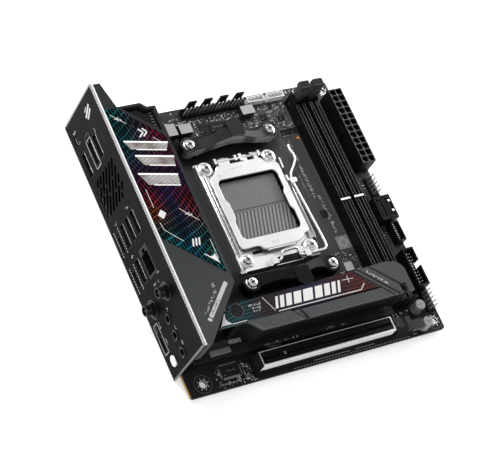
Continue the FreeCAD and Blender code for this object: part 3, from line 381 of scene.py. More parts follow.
def strip_print_material():
    """The storage cover's dark print: a fine colour grid on its far strip, plain beyond it."""
    material, tree, shader = new_material("strip_print")
    x, y, z = split_place(tree)
    place = object_place(tree)
    bend = noise(tree, place, 0.03, 1.5)
    u = math_node(tree, "ADD", x, math_node(tree, "MULTIPLY", bend, 0.012))
    v = math_node(tree, "ADD", y, math_node(tree, "MULTIPLY", bend, 0.008))
    lines = math_node(tree, "MAXIMUM", stripes(tree, u, 1.6, 0.12), stripes(tree, v, 2.2, 0.1))
    ramp = tree.nodes.new("ShaderNodeValToRGB")
    link(tree, remap(tree, x, 14 * MM, 118 * MM, 0.0, 1.0), ramp.inputs[0])
    set_ramp(ramp.color_ramp,
             [(0.0, (0.0, 0.16, 0.18)), (0.14, (0.0, 0.13, 0.16)), (0.28, (0.05, 0.02, 0.03)),
                               (0.45, (0.035, 0.02, 0.05)), (0.6, (0.01, 0.04, 0.12)),
                               (0.78, (0.12, 0.02, 0.03)),
                               (0.9, (0.22, 0.02, 0.02)), (1.0, (0.02, 0.012, 0.012))])
    printed = math_node(tree, "MULTIPLY", math_node(tree, "GREATER_THAN", y, 22.0 * MM),
                        math_node(tree, "LESS_THAN", math_node(tree, "ADD", x, y), 138.0 * MM))
    sparkle = remap(tree, noise(tree, place, 3.2, 2.0), 0.35, 0.65, 0.0, 1.0)
    slate = mix_colour(tree, sparkle, (0.036, 0.038, 0.041), (0.074, 0.077, 0.081))
    base = mix_colour(tree, printed, slate, (0.006, 0.0045, 0.0045))
    # Painted shade: the cover's near-facing wall is darkened to near black.
    walls = math_node(tree, "LESS_THAN", y, (extent("m2_heatsink_cover")[0].y + 0.06) * MM)
    base = mix_colour(tree, walls, base, (0.006, 0.006, 0.0065))
    mask = math_node(tree, "MULTIPLY", lines, printed)
    link(tree, mix_colour(tree, mask, base, ramp.outputs[0]), shader.inputs["Base Color"])
    grain = noise(tree, place, 2.4, 3.0)
    link(tree, remap(tree, grain, 0.3, 0.7, 0.36, 0.5), shader.inputs["Roughness"])
    shader.inputs["Specular IOR Level"].default_value = 0.12
    relief(tree, shader, [math_node(tree, "MULTIPLY", grain, 0.6), math_node(tree, "MULTIPLY", mask, 0.3)],
           0.03)
    return material


def hatched_silver(name, pitch_mm, lean):
    """Silver print broken by fine dark slanting lines."""
    material, tree, shader = new_material(name)
    x, y, z = split_place(tree)
    across = math_node(tree, "ADD", y, math_node(tree, "MULTIPLY", x, lean))
    lines = soft_stripes(tree, across, pitch_mm, 0.4)
    slow = remap(tree, noise(tree, object_place(tree), 0.09, 2.0), 0.4, 0.62, 0.0, 1.0)
    bright = mix_colour(tree, slow, (0.62, 0.61, 0.60), (0.26, 0.21, 0.19))
    link(tree, mix_colour(tree, lines, (0.03, 0.028, 0.027), bright), shader.inputs["Base Color"])
    shader.inputs["Roughness"].default_value = 0.42
    shader.inputs["Metallic"].default_value = 0.3
    relief(tree, shader, [lines], 0.03)
    return material


def coated_shield():
    """Dark sandblasted plate whose folded top edge and outer rims are bright metal."""
    material, tree, shader = new_material("shield_with_rim")
    x, y, z = split_place(tree)
    place = object_place(tree)
    grain = noise(tree, place, 2.2, 4.0)
    slow = noise(tree, place, 0.04, 2.0)
    coat = mix_colour(tree, remap(tree, grain, 0.3, 0.7, 0.0, 1.0), (0.0004, 0.0006, 0.0008),
                      (0.0018, 0.0022, 0.0025))
    low, high = extent("io_shield")
    top = math_node(tree, "GREATER_THAN", z, (high.z - 0.15) * MM)
    far_rim = math_node(tree, "GREATER_THAN", y, (high.y - 0.9) * MM)
    low_rim = math_node(tree, "LESS_THAN", z, (low.z + 0.6) * MM)
    near_rim = math_node(tree, "LESS_THAN", y, (low.y + 0.7) * MM)
    rim = math_node(tree, "MAXIMUM", math_node(tree, "MAXIMUM", top, far_rim),
                    math_node(tree, "MAXIMUM", low_rim, near_rim))
    across = math_node(tree, "ADD", y, math_node(tree, "MULTIPLY", x, 0.9))
    lines = soft_stripes(tree, across, 1.25, 0.5)
    band = math_node(tree, "MULTIPLY", math_node(tree, "LESS_THAN", x, -2.0 * MM), lines)
    metal = mix_colour(tree, band, (0.86, 0.86, 0.85), (0.16, 0.16, 0.16))
    link(tree, mix_colour(tree, rim, coat, metal), shader.inputs["Base Color"])
    link(tree, math_node(tree, "MULTIPLY", rim, 0.75), shader.inputs["Metallic"])
    link(tree, remap(tree, slow, 0.3, 0.7, 0.4, 0.5), shader.inputs["Roughness"])
    shader.inputs["Specular IOR Level"].default_value = 0.04
    relief(tree, shader, [math_node(tree, "MULTIPLY", grain, 0.5), math_node(tree, "MULTIPLY", band, rim)],
           0.05)
    return material


def sheen_moulding():
    """Black moulding whose upright near-facing sides catch the light."""
    material, tree, shader = new_material("sheen_moulding")
    facing = tree.nodes.new("ShaderNodeNewGeometry")
    split = tree.nodes.new("ShaderNodeSeparateXYZ")
    link(tree, facing.outputs["Normal"], split.inputs[0])
    x, y, z = split_place(tree)
    toward = remap(tree, math_node(tree, "MULTIPLY", split.outputs["Y"], -1.0), 0.35, 0.95, 0.0, 1.0)
    along = soft_stripes(tree, math_node(tree, "ADD", x, 9 * MM), 27.0, 0.6)
    grain = noise(tree, object_place(tree), 1.8, 3.0)
    lit = math_node(tree, "MULTIPLY", toward, remap(tree, along, 0.0, 1.0, 0.25, 1.0))
    link(tree, mix_colour(tree, lit, (0.006, 0.006, 0.0065), (0.26, 0.264, 0.268)),
         shader.inputs["Base Color"])
    link(tree, remap(tree, grain, 0.3, 0.7, 0.3, 0.4), shader.inputs["Roughness"])
    shader.inputs["Specular IOR Level"].default_value = 0.3
    relief(tree, shader, [math_node(tree, "MULTIPLY", grain, 0.3)], 0.02)
    return material


def capped_moulding():
    """Pressed ferrite block: pale matt top, dark sides."""
    material, tree, shader = new_material("moulded_ferrite")
    facing = tree.nodes.new("ShaderNodeNewGeometry")
    split = tree.nodes.new("ShaderNodeSeparateXYZ")
    link(tree, facing.outputs["Normal"], split.inputs[0])
    grain = noise(tree, object_place(tree), 1.8, 3.0)
    top = remap(tree, split.outputs["Z"], 0.5, 0.9, 0.0, 1.0)
    pale = mix_colour(tree, remap(tree, grain, 0.3, 0.7, 0.0, 1.0), (0.30, 0.302, 0.305),
                      (0.40, 0.402, 0.405))
    link(tree, mix_colour(tree, top, (0.020, 0.020, 0.021), pale), shader.inputs["Base Color"])
    shader.inputs["Roughness"].default_value = 0.6
    shader.inputs["Specular IOR Level"].default_value = 0.2
    relief(tree, shader, [grain], 0.05)
    return material


def slot_shell_material():
    """Bright pressed shell around the expansion slot: black below, a groove along each wall, darkened with
    painted shade.
    """
    material, tree, shader = new_material("slot_shell")
    x, y, z = split_place(tree)
    grain = noise(tree, object_place(tree), 1.6, 3.0)
    lower = math_node(tree, "LESS_THAN", z, 6.6 * MM)
    groove = math_node(tree, "COMPARE", z, 10.3 * MM, 0.3 * MM)
    bright = mix_colour(tree, grain, (0.84, 0.84, 0.835), (0.93, 0.93, 0.925))
    # Painted shade: the groove along each wall is darkened toward grey.
    groove_shaded = mix_colour(tree, math_node(tree, "MULTIPLY", groove, 0.7), bright, (0.12, 0.12, 0.12))
    low, high = extent("pcie_slot_shell")
    left_end = math_node(tree, "LESS_THAN", x, (low.x + 0.1) * MM)
    far_wall = math_node(tree, "GREATER_THAN", y, (high.y - 0.62) * MM)
    lower = math_node(tree, "MAXIMUM", lower, math_node(tree, "MAXIMUM", left_end, far_wall))
    link(tree, mix_colour(tree, lower, groove_shaded, (0.012, 0.012, 0.013)), shader.inputs["Base Color"])
    metal = math_node(tree, "MULTIPLY", math_node(tree, "SUBTRACT", 1.0, lower), 0.3)
    link(tree, metal, shader.inputs["Metallic"])
    shader.inputs["Specular IOR Level"].default_value = 0.15
    link(tree, remap(tree, grain, 0.3, 0.7, 0.26, 0.36), shader.inputs["Roughness"])
    relief(tree, shader,
           [math_node(tree, "MULTIPLY", grain, 0.4), math_node(tree, "SUBTRACT", 1.0, groove)], 0.04)
    return material


def socket_field_material():
    """A dense field of tiny contact springs in leaning rows, closer together in its far half."""
    material, tree, shader = new_material("contact_field")
    x, y, z = split_place(tree)
    far_half = math_node(tree, "GREATER_THAN", y, 97.8 * MM)
    far_rows = soft_stripes(tree, math_node(tree, "ADD", x, math_node(tree, "MULTIPLY", y, 0.55)), 1.5, 0.5)
    near_rows = soft_stripes(tree, math_node(tree, "SUBTRACT", x, math_node(tree, "MULTIPLY", y, 0.3)),
                             2.4, 0.5)
    near_half = math_node(tree, "SUBTRACT", 1.0, far_half)
    rows = math_node(tree, "ADD", math_node(tree, "MULTIPLY", far_rows, far_half),
                     math_node(tree, "MULTIPLY", near_rows, near_half))
    fingers = stripes(tree, math_node(tree, "ADD", y, math_node(tree, "MULTIPLY", x, 0.5)), 0.94, 0.6)
    lit = math_node(tree, "MULTIPLY", rows, remap(tree, fingers, 0.0, 1.0, 0.45, 1.0))
    link(tree, mix_colour(tree, lit, (0.020, 0.0205, 0.021), (0.235, 0.24, 0.245)),
         shader.inputs["Base Color"])
    link(tree, math_node(tree, "MULTIPLY", lit, 0.3), shader.inputs["Metallic"])
    shader.inputs["Roughness"].default_value = 0.5
    relief(tree, shader, [rows], 0.1)
    return material


def make_materials():
    return {
        "board": board_material(),
        "backplate": surface("coated_steel", (0.014, 0.014, 0.016), 0.42, 0.0, grain=1.2, depth=0.04,
                             specular=0.25),
        "shield": coated_shield(),
        "cover": cover_material(),
        "printed_plate": grid_print_material(),
        "dark_aluminium": surface("blasted_aluminium", (0.004, 0.004, 0.0045), 0.42, 0.0, grain=2.6,
                                  depth=0.03,
                                  specular=0.08),
        "strip": strip_print_material(),
        "bright_steel": surface("bright_nickel", (0.85, 0.855, 0.86), 0.34, 1.0, grain=0.8, depth=0.0,
                                vary=0.02,
                                spread=0.06),
        "slot_shell": slot_shell_material(),
        "port_steel": surface("port_shell", (0.006, 0.006, 0.0065), 0.4, 0.1, grain=1.8, depth=0.02,
                              vary=0.12,
                              specular=0.2),
        "screw_steel": surface("plated_screw", (0.84, 0.84, 0.83), 0.2, 1.0, grain=2.2, depth=0.002,
                               vary=0.08),
        "black_plastic": surface("black_moulding", (0.0035, 0.0035, 0.004), 0.32, grain=3.0, depth=0.004,
                                 specular=0.14),
        "latch_grey": moulded("latch_moulding", (0.034, 0.034, 0.036), 0.42),
        "cell_rim_highlight": moulded("cell_rim_highlight", (0.075, 0.075, 0.078), 0.5),
        "gloss_black": surface("gloss_black", (0.004, 0.004, 0.005), 0.2, grain=3.0, depth=0.006,
                               specular=0.25),
        "connector": moulded("connector_moulding", (0.0045, 0.0045, 0.005), 0.45),
        "grey_plastic": moulded("grey_moulding", (0.10, 0.10, 0.105), 0.5),
        "pad_grey": moulded("thermal_pad", (0.16, 0.17, 0.19), 0.7),
        "white_plastic": moulded("white_moulding", (0.80, 0.80, 0.79), 0.5),
        "contact_metal": surface("gold_flash", (0.70, 0.50, 0.22), 0.3, 1.0, grain=3.0, depth=0.01,
                                 vary=0.12),
        "tin": surface("tinned_pin", (0.86, 0.86, 0.85), 0.32, 0.9, grain=3.0, depth=0.015, vary=0.12),
        "spring_dark": surface("spring_metal", (0.05, 0.05, 0.05), 0.4, 0.6, grain=3.0, depth=0.01,
                               vary=0.15),
        "lead_grey": surface("chip_lead", (0.55, 0.55, 0.555), 0.4, 0.7, grain=3.0, depth=0.02, vary=0.15),
        "ferrite": capped_moulding(),
        "can_metal": surface("can_aluminium", (0.24, 0.24, 0.245), 0.38, 0.5, grain=2.0, depth=0.02,
                             vary=0.1),
        "chip_epoxy": surface("chip_epoxy", (0.012, 0.012, 0.013), 0.5, grain=2.6, depth=0.03, vary=0.25,
                              specular=0.15),
        "print_bright": surface("bright_print", (0.86, 0.85, 0.83), 0.45, grain=3.0, depth=0.01, vary=0.06),
        "print_white": surface("white_print", (0.62, 0.61, 0.60), 0.5, grain=3.0, depth=0.01, vary=0.1),
        "print_grey_light": surface("light_grey_print", (0.40, 0.40, 0.40), 0.5, grain=3.0, depth=0.01,
                                    vary=0.12),
        "print_grey": surface("grey_print", (0.17, 0.17, 0.17), 0.55, grain=3.0, depth=0.01, vary=0.15),
        "ceramic": surface("ceramic_body", (0.40, 0.39, 0.375), 0.5, grain=2.5, depth=0.03, vary=0.3),
        "resistor": surface("resistor_body", (0.012, 0.012, 0.014), 0.35, grain=2.5, depth=0.02, vary=0.3),
        "amber": surface("amber_lamp", (0.75, 0.28, 0.02), 0.3, grain=2.0, depth=0.01, vary=0.1),
        # Near-black used as painted shade in gaps, slits, grooves and pockets, and for dark print ticks.
        "hole": surface("shade_and_print_black", (0.004, 0.004, 0.005), 0.5, grain=2.0, depth=0.02, vary=0.2,
                        specular=0.15),
        "socket_field": socket_field_material(),
        "sheen_moulding": sheen_moulding(),
        "grey_dark": surface("slate_label", (0.040, 0.042, 0.044), 0.5, grain=2.4, depth=0.02, specular=0.12),
        "connector_rim_highlight": moulded("connector_rim_highlight", (0.045, 0.045, 0.047), 0.45),
        "rail_steel": surface("rail_steel", (0.40, 0.405, 0.41), 0.35, 0.8, grain=1.6, depth=0.0, vary=0.1),
        "recess_shade": surface("recess_shade", (0.10, 0.10, 0.105), 0.4, 0.6, grain=2.2, depth=0.01,
                                vary=0.1),
        "hatch": hatched_silver("hatched_silver", 0.95, 0.55),
    }


MATERIAL = make_materials()


# ---- mesh building ----------------------------------------------------------------------

class Piece:
    """Collects solids, in board millimetres, and turns them into one named mesh."""

    def __init__(self, name, material, slot, body=FIXED):
        self.name, self.material, self.slot, self.body = name, material, slot, body
        self.mesh = bmesh.new()
        self.faces_before = 0

    def prism(self, points, low, high, turn=None):
        """A polygon in x and y between two heights; turn maps each corner elsewhere."""
        bottom = [Vector((x, y, low)) for x, y in points]
        top = [Vector((x, y, high)) for x, y in points]
        if turn:
            bottom = [turn(corner) for corner in bottom]
            top = [turn(corner) for corner in top]
        first = [self.mesh.verts.new(at(*corner)) for corner in bottom]
        second = [self.mesh.verts.new(at(*corner)) for corner in top]
        count = len(points)
        self.mesh.faces.new(first[::-1])
        self.mesh.faces.new(second)
        for i in range(count):
            j = (i + 1) % count
            self.mesh.faces.new((first[i], first[j], second[j], second[i]))
        return self

    def box(self, low, high):
        x0, y0, z0 = low
        x1, y1, z1 = high
        return self.prism([(x0, y0), (x1, y0), (x1, y1), (x0, y1)], z0, z1)

    def stroke(self, start, end, width, low, high):
        """A straight raised line between two points seen from above."""
        (x0, y0), (x1, y1) = start, end
        run = Vector((x1 - x0, y1 - y0))
        side = Vector((-run.y, run.x)).normalized() * width / 2
        points = [(x0 + side.x, y0 + side.y), (x0 - side.x, y0 - side.y),
                  (x1 - side.x, y1 - side.y), (x1 + side.x, y1 + side.y)]
        return self.prism(points[::-1], low, high)

    def disc(self, centre, radius, low, high, sides=24, start=0.0):
        cx, cy = centre
        points = [(cx + radius * math.cos(start + 2 * math.pi * i / sides),
                   cy + radius * math.sin(start + 2 * math.pi * i / sides)) for i in range(sides)]
        return self.prism(points, low, high)

    def lathe(self, profile, place, sides=32):
        """A turned shape: (radius, height) points about a line, moved by place(vector)."""
        rings = []
        for radius, height in profile:
            if radius <= 0:
                rings.append([self.mesh.verts.new(at(*place(Vector((0, 0, height)))))])
                continue
            rings.append([self.mesh.verts.new(at(*place(Vector((
                radius * math.cos(2 * math.pi * i / sides), radius * math.sin(2 * math.pi * i / sides),
                height)))))
                for i in range(sides)])
        for lower, upper in zip(rings, rings[1:]):
            for i in range(sides):
                j = (i + 1) % sides
                corners = [lower[i % len(lower)], lower[j % len(lower)], upper[j % len(upper)],
                           upper[i % len(upper)]]
                unique = list(dict.fromkeys(corners))
                if len(unique) > 2:
                    self.mesh.faces.new(unique)
        return self

    def tube(self, points, radius, sides=12):
        """A round wire through points, closed at both ends."""
        path = [Vector(point) for point in points]
        rings = []
        normal = None
        for i, point in enumerate(path):
            ahead = (path[min(i + 1, len(path) - 1)] - path[max(i - 1, 0)]).normalized()
            if normal is None:
                normal = ahead.orthogonal().normalized()
            normal = (normal - ahead * normal.dot(ahead)).normalized()
            other = ahead.cross(normal)
            rings.append([self.mesh.verts.new(at(*(point + radius * (
                math.cos(2 * math.pi * k / sides) * normal + math.sin(2 * math.pi * k / sides) * other))))
                for k in range(sides)])
        for lower, upper in zip(rings, rings[1:]):
            for k in range(sides):
                j = (k + 1) % sides
                self.mesh.faces.new((lower[k], lower[j], upper[j], upper[k]))
        self.mesh.faces.new(rings[0][::-1])
        self.mesh.faces.new(rings[-1])
        return self

    def finish(self, bevel_mm=0.0, segments=2, smooth=False, replaces=()):
        bmesh.ops.recalc_face_normals(self.mesh, faces=self.mesh.faces)
        data = bpy.data.meshes.new(self.name)
        self.mesh.to_mesh(data)
        self.mesh.free()
        data.materials.append(MATERIAL[self.material])
        if smooth:
            data.shade_smooth()
            data.set_sharp_from_angle(angle=math.radians(35))
        item = bpy.data.objects.new(self.name, data)
        bpy.context.scene.collection.objects.link(item)
        if bevel_mm > 0:
            edge = item.modifiers.new("edges", "BEVEL")
            edge.width = bevel_mm * MM
            edge.segments = segments
            edge.limit_method = "ANGLE"
            edge.harden_normals = smooth
        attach(item, self.body)
        if replaces:
            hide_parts(*replaces)
        return item


def rounded(points, radius, steps=5):
    """The outline with each corner turned into a short arc."""
    result = []
    count = len(points)
    for i in range(count):
        corner = Vector(points[i])
        back = Vector(points[i - 1]) - corner
        ahead = Vector(points[(i + 1) % count]) - corner
        half = back.angle(ahead) / 2
        reach = min(radius / math.tan(half), 0.45 * back.length, 0.45 * ahead.length)
        size = reach * math.tan(half)
        start = corner + back.normalized() * reach
        centre = corner + (back.normalized() + ahead.normalized()).normalized() * (size / math.sin(half))
        first = start - centre
        sweep = (corner + ahead.normalized() * reach - centre)
        turn = math.atan2(first.x * sweep.y - first.y * sweep.x, first.dot(sweep))
        for k in range(steps + 1):
            angle = turn * k / steps
            c, s = math.cos(angle), math.sin(angle)
            result.append((centre.x + first.x * c - first.y * s, centre.y + first.x * s + first.y * c))
    return result


def plate(name, outlines, low, high, material, body=FIXED, edge_mm=0.12, replaces=()):
    """A flat sheet cut to its outlines, inner ones as holes, with rolled edges."""
    data = bpy.data.curves.new(name, "CURVE")
    data.dimensions = "2D"
    data.fill_mode = "BOTH"
    data.extrude = ((high - low) / 2 - edge_mm) * MM
    data.bevel_depth = edge_mm * MM
    data.bevel_resolution = 2
    data.offset = -edge_mm * MM
    for outline in outlines:
        spline = data.splines.new("POLY")
        spline.points.add(len(outline) - 1)
        for point, (x, y) in zip(spline.points, outline):
            point.co = (CORNER.x + x * MM, CORNER.y + y * MM, 0, 1)
        spline.use_cyclic_u = True
    draft = bpy.data.objects.new(name + "_draft", data)
    mesh = bpy.data.meshes.new_from_object(draft)
    bpy.data.objects.remove(draft)
    mesh.transform(Matrix.Translation((0, 0, CORNER.z + (low + high) / 2 * MM)))
    mesh.name = name
    mesh.materials.clear()
    mesh.materials.append(MATERIAL[material])
    for face in mesh.polygons:
        face.material_index = 0
    for face in mesh.polygons:
        face.use_smooth = abs(face.normal.z) < 0.999
    item = bpy.data.objects.new(name, mesh)
    bpy.context.scene.collection.objects.link(item)
    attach(item, body)
    if replaces:
        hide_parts(*replaces)
    return item


def marks(piece, start, run, count, size, level, turn=None, fill=0.8):
    """A row of upright bars and dots of several heights, like a scale; none of them is a letter."""
    direction = Vector(run).normalized()
    across = Vector((-direction.y, direction.x))
    half = direction * 0.11 * size
    for i in range(count):
        low = CHANCE.choice((0.0, 0.0, 0.3, 0.55)) * size
        tall = CHANCE.choice((0.25, 0.45, 0.7, 0.95)) * size
        if CHANCE.random() > fill:
            continue
        foot = Vector(start) + direction * (i * 0.5 * size) + across * low
        head = Vector(start) + direction * (i * 0.5 * size) + across * max(tall, low + 0.2 * size)
        points = [foot + half, head + half, head - half, foot - half]
        piece.prism([tuple(point) for point in points], level, level + 0.03, turn)


# ---- rear shield --------------------------------------------------------------------------

SHIELD_FACE = extent("io_shield")[0].x


def on_shield(corner):
    """Maps (y, z, outward distance) to a place on the shield's rear face."""
    return Vector((SHIELD_FACE - corner.z, corner.x, corner.y))


def frame_lines(piece, y0, z0, y1, z1, width, turn=on_shield):
    for a, b, c, d in ((y0, z0, y1, z0 + width), (y0, z1 - width, y1, z1), (y0, z0, y0 + width, z1),
                       (y1 - width, z0, y1, z1)):
        piece.prism([(a, b), (c, b), (c, d), (a, d)], 0.0, 0.03, turn)


USB_MOUTHS = [(138.7, 152.5, 22.9, 27.6), (138.7, 152.5, 15.4, 20.1), (88.3, 102.1, 26.9, 31.6),
              (88.3, 102.1, 18.8, 23.5), (88.3, 102.1, 10.7, 15.4), (66.4, 80.2, 10.9, 15.6)]
HDMI_MOUTH = (137.5, 152.3, 3.2, 7.7)
JACKS = [(20.6, 19.8), (30.6, 19.8), (40.6, 19.8)]


def make_shield_details():
    prints = Piece("shield_prints", "print_white", "shield")
    frame_lines(prints, 136.6, 14.1, 157.2, 21.4, 0.35)
    frame_lines(prints, 153.9, 14.1, 157.2, 21.4, 0.3)
    frame_lines(prints, 27.2, 0.9, 38.4, 6.6, 0.3)
    frame_lines(prints, 38.1, 0.9, 44.9, 6.6, 0.3)
    for i in range(9):
        y = 64.6 + i * 1.8
        for z in (2.0, 8.2):
            prints.prism([(y, z), (y + 1.1, z), (y + 1.1, z + 0.45), (y, z + 0.45)], 0, 0.03, on_shield)
            y_far = y + 22.8
            prints.prism([(y_far, z), (y_far + 1.1, z), (y_far + 1.1, z + 0.45), (y_far, z + 0.45)], 0,
                         0.03, on_shield)
    for y, z, run, count, size in ((154.4, 29.6, (-1, 0.05), 3, 1.8), (157.6, 8.8, (0, -1), 4, 1.5),
                                   (164.5, 7.6, (0, -1), 4, 1.7), (104.4, 28.6, (0, -1), 4, 1.6),
                                   (104.4, 9.4, (0, -1), 4, 1.6), (82.6, 12.6, (0, -1), 4, 1.6),
                                   (62.8, 31.0, (0, -1), 3, 1.5), (60.6, 27.6, (-1, 0), 3, 1.4),
                                   (45.6, 24.0, (-1, 0), 4, 1.3), (35.0, 24.4, (-1, 0), 5, 1.3),
                                   (25.4, 24.6, (-1, 0), 4, 1.3), (50.0, 8.0, (-1, 0), 6, 1.5),
                                   (44.0, 9.0, (-1, 0), 5, 1.6), (34.0, 9.2, (-1, 0), 5, 1.6),
                                   (61.0, 20.6, (0, 1), 5, 1.4)):
        marks(prints, (y, z), run, count, size, 0.0, on_shield, 1.0)
    mark_low = [(167.6, 33.9), (166.3, 34.5), (162.4, 26.6), (163.6, 25.4)]
    mark_mid = [(164.9, 33.9), (163.7, 34.3), (160.9, 28.3), (161.6, 26.9)]
    mark_tick = [(167.9, 30.0), (167.2, 30.3), (165.6, 27.2), (166.2, 26.6)]
    for points in (mark_low, mark_mid, mark_tick):
        prints.prism(points, 0, 0.03, on_shield)
    prints.finish()
    lips = Piece("port_lips", "tin", "bright_steel")
    tongues = Piece("port_tongues", "print_grey", "black_plastic")
    for y0, y1, z0, z1 in USB_MOUTHS + [HDMI_MOUTH]:
        lips.box((SHIELD_FACE + 0.02, y0 + 0.6, z1 + 0.05), (SHIELD_FACE + 0.4, y1 - 0.8, z1 + 0.2))
        for i in range(4):
            y = y0 + 2.6 + i * (y1 - y0 - 5.6) / 3
            tongues.box((SHIELD_FACE + 1.6, y, z0 + 1.9), (SHIELD_FACE + 4.0, y + 0.8, z0 + 2.3))
    lips.finish(0.05)
    tongues.finish()
    rings = Piece("jack_rings", "gloss_black", "black_plastic")
    for y, z in JACKS:
        profile = [(1.85, 1.2), (1.85, 0.0), (2.1, -0.45), (2.7, -0.62), (3.1, -0.4), (3.15, 0.1),
                   (3.15, 0.4)]
        rings.lathe(profile, lambda v, y=y, z=z: Vector((SHIELD_FACE + v.z + 0.1, y + v.x, z + v.y)))
    rings.finish(smooth=True)
    washers = Piece("antenna_washers", "gloss_black", "contact_metal")
    for y, z in ((52.2, 30.0), (52.0, 8.7)):
        profile = [(3.3, 0.0), (5.3, 0.0), (5.3, -0.25), (4.9, -0.4), (3.3, -0.4)]
        washers.lathe(profile, lambda v, y=y, z=z: Vector((SHIELD_FACE + v.z, y + v.x, z + v.y)))
        for k in range(5):
            ridge = [(3.0, 0.0), (3.1, -0.12), (3.1, -0.3), (3.0, -0.42)]
            start = SHIELD_FACE - 2.0 - k * 0.66
            washers.lathe(ridge, lambda v, y=y, z=z, start=start: Vector((start + v.z, y + v.x, z + v.y)))
    washers.finish(smooth=True)


# ---- cover, its printed plate and prints ---------------------------------------------------------

COVER_TOP = extent("io_cover")[1].z
PRINT_LEVEL = extent("cover_plate")[1].z


def make_cover_prints():
    bright = Piece("plate_prints", "print_white", "printed_plate")
    level, thick = PRINT_LEVEL, 0.03
    def strip(start, end, width):
        bright.stroke(start, end, width, level, level + thick)
    # A lozenge, a stack of bars and a pair of chevrons stand where printed characters would be.
    bright.prism([(3.0, 89.6), (5.4, 86.9), (8.2, 89.9), (5.8, 92.6)], level, level + thick)
    for k in range(3):
        strip((15.2 + k * 1.9, 67.8), (16.7 + k * 1.9, 72.2), 0.95)
    for k in range(2):
        strip((12.4 + k * 2.4, 136.8), (15.4 + k * 2.4, 139.2), 0.9)
        strip((15.4 + k * 2.4, 139.2), (13.2 + k * 2.4, 141.8), 0.9)
    for first, last in (((2.6, 105.9), (2.6, 94.5)), ((2.3, 85.3), (3.0, 80.7)), ((3.0, 80.7), (11.1, 72.0)),
                        ((16.6, 90.9), (24.9, 81.8)), ((0.9, 153.2), (8.1, 146.2)),
                        ((19.8, 135.3), (23.7, 131.2)),
                        ((26.2, 69.8), (26.1, 58.0))):
        strip(first, last, 0.28)
    for cx, cy in ((20.6, 86.6), (4.4, 149.8)):
        strip((cx - 1.9, cy + 0.6), (cx + 1.9, cy - 0.9), 0.55)
        strip((cx - 0.3, cy - 1.2), (cx + 0.3, cy + 1.2), 0.5)
    bright.prism([(26.0, 55.2), (25.2, 61.4), (23.9, 60.3), (22.2, 60.0), (19.4, 62.6), (19.2, 62.1)],
                 level, level + thick)
    bright.finish()
    # Three parallel slanting bars with bright upper edges cross the middle of the plate.
    bars = Piece("plate_bars", "hatch", "printed_plate")
    edges = Piece("plate_bar_edges", "print_bright", "printed_plate")
    run = Vector((1.0, -0.22))
    for x_low, x_high, y_left, wide in ((2.0, 27.0, 136.0, 5.4), (5.0, 27.0, 126.4, 6.4),
                                        (2.2, 24.6, 115.6, 7.6)):
        length = x_high - x_low
        near_left = Vector((x_low + 0.45 * wide, y_left - wide))
        far_left = Vector((x_low, y_left))
        near_right = near_left + run * length * 0.8
        far_right = far_left + run * length
        corners = [near_left, near_right, far_right, far_left]
        bars.prism([tuple(corner) for corner in corners], level, level + thick)
        edges.stroke(tuple(far_left), tuple(far_right), 1.0, level + 0.032, level + 0.05)
        edges.stroke(tuple(near_left + run * 3), tuple(near_right), 0.6, level + 0.032, level + 0.05)
    bars.finish()
    edges.finish()
    # Near panel: a slanting light bar with dark ticks and a row of marks beside it.
    bar = Piece("panel_bar", "print_grey_light", "cover")
    slope = Vector((0.70, 0.71))
    start = Vector((6.2, 25.2))
    side = Vector((-slope.y, slope.x)) * 1.7
    for first, last in ((0.0, 1.6), (2.4, 26.4)):
        a, b = start + slope * first, start + slope * last
        bar.prism([tuple(a - side * 0.5), tuple(b - side * 0.5), tuple(b + side * 0.9),
                   tuple(a + side * 0.9)],
                  COVER_TOP, COVER_TOP + 0.03)
    bar.finish()
    dark = Piece("panel_bar_marks", "hole", "cover")
    marks(dark, tuple(start + slope * 4.2 - side * 0.2), tuple(slope), 15, 1.5, COVER_TOP + 0.032, None, 1.0)
    dark.finish()
    light = Piece("panel_marks", "print_grey_light", "cover")
    marks(light, tuple(start + slope * 2.6 + side * 1.7), tuple(slope), 20, 1.7, COVER_TOP, None, 0.9)
    marks(light, tuple(start + slope * 19.6 + side * 2.8), tuple(slope), 3, 2.4, COVER_TOP, None, 1.0)
    light.finish()


def make_cover_pocket():
    """The regulator heatsink's top, seen through the cover's far opening: contoured and finned."""
    low, high = extent("vrm_heatsink")
    piece = Piece("heatsink_cap", "gloss_black", "dark_aluminium")
    outline = [(12.2, 151.8), (13.6, 150.0), (27.2, 137.4), (27.2, 152.6), (23.8, 152.6), (20.7, 155.6),
               (13.4, 155.6),
               (11.8, 154.2)]
    piece.prism(rounded(outline, 1.4), high.z + 0.02, high.z + 2.2)
    piece.finish(0.3, 3, smooth=True)
    fins = Piece("heatsink_cap_fins", "grey_plastic", "dark_aluminium")
    for i in range(7):
        y = 139.6 + i * 1.9
        fins.box((25.4, y, high.z + 2.16), (27.0, y + 0.9, high.z + 2.26))
    fins.finish()
    ticks = Piece("heatsink_marks", "print_grey", "dark_aluminium")
    slope = Vector((48.0 - 31.0, 12.2 - 36.0)).normalized()
    def on_slope(corner):
        return Vector((31.0, corner.x, 36.0)) + Vector((slope.x, 0, slope.y)) * corner.y + Vector(
            (-slope.y, 0, slope.x)) * (corner.z + 0.02)
    marks(ticks, (128.0, 3.0), (-1, 0), 14, 1.9, 0.0, on_slope, 0.8)
    marks(ticks, (84.0, 3.0), (-1, 0), 9, 1.6, 0.0, on_slope, 0.8)
    ticks.finish()


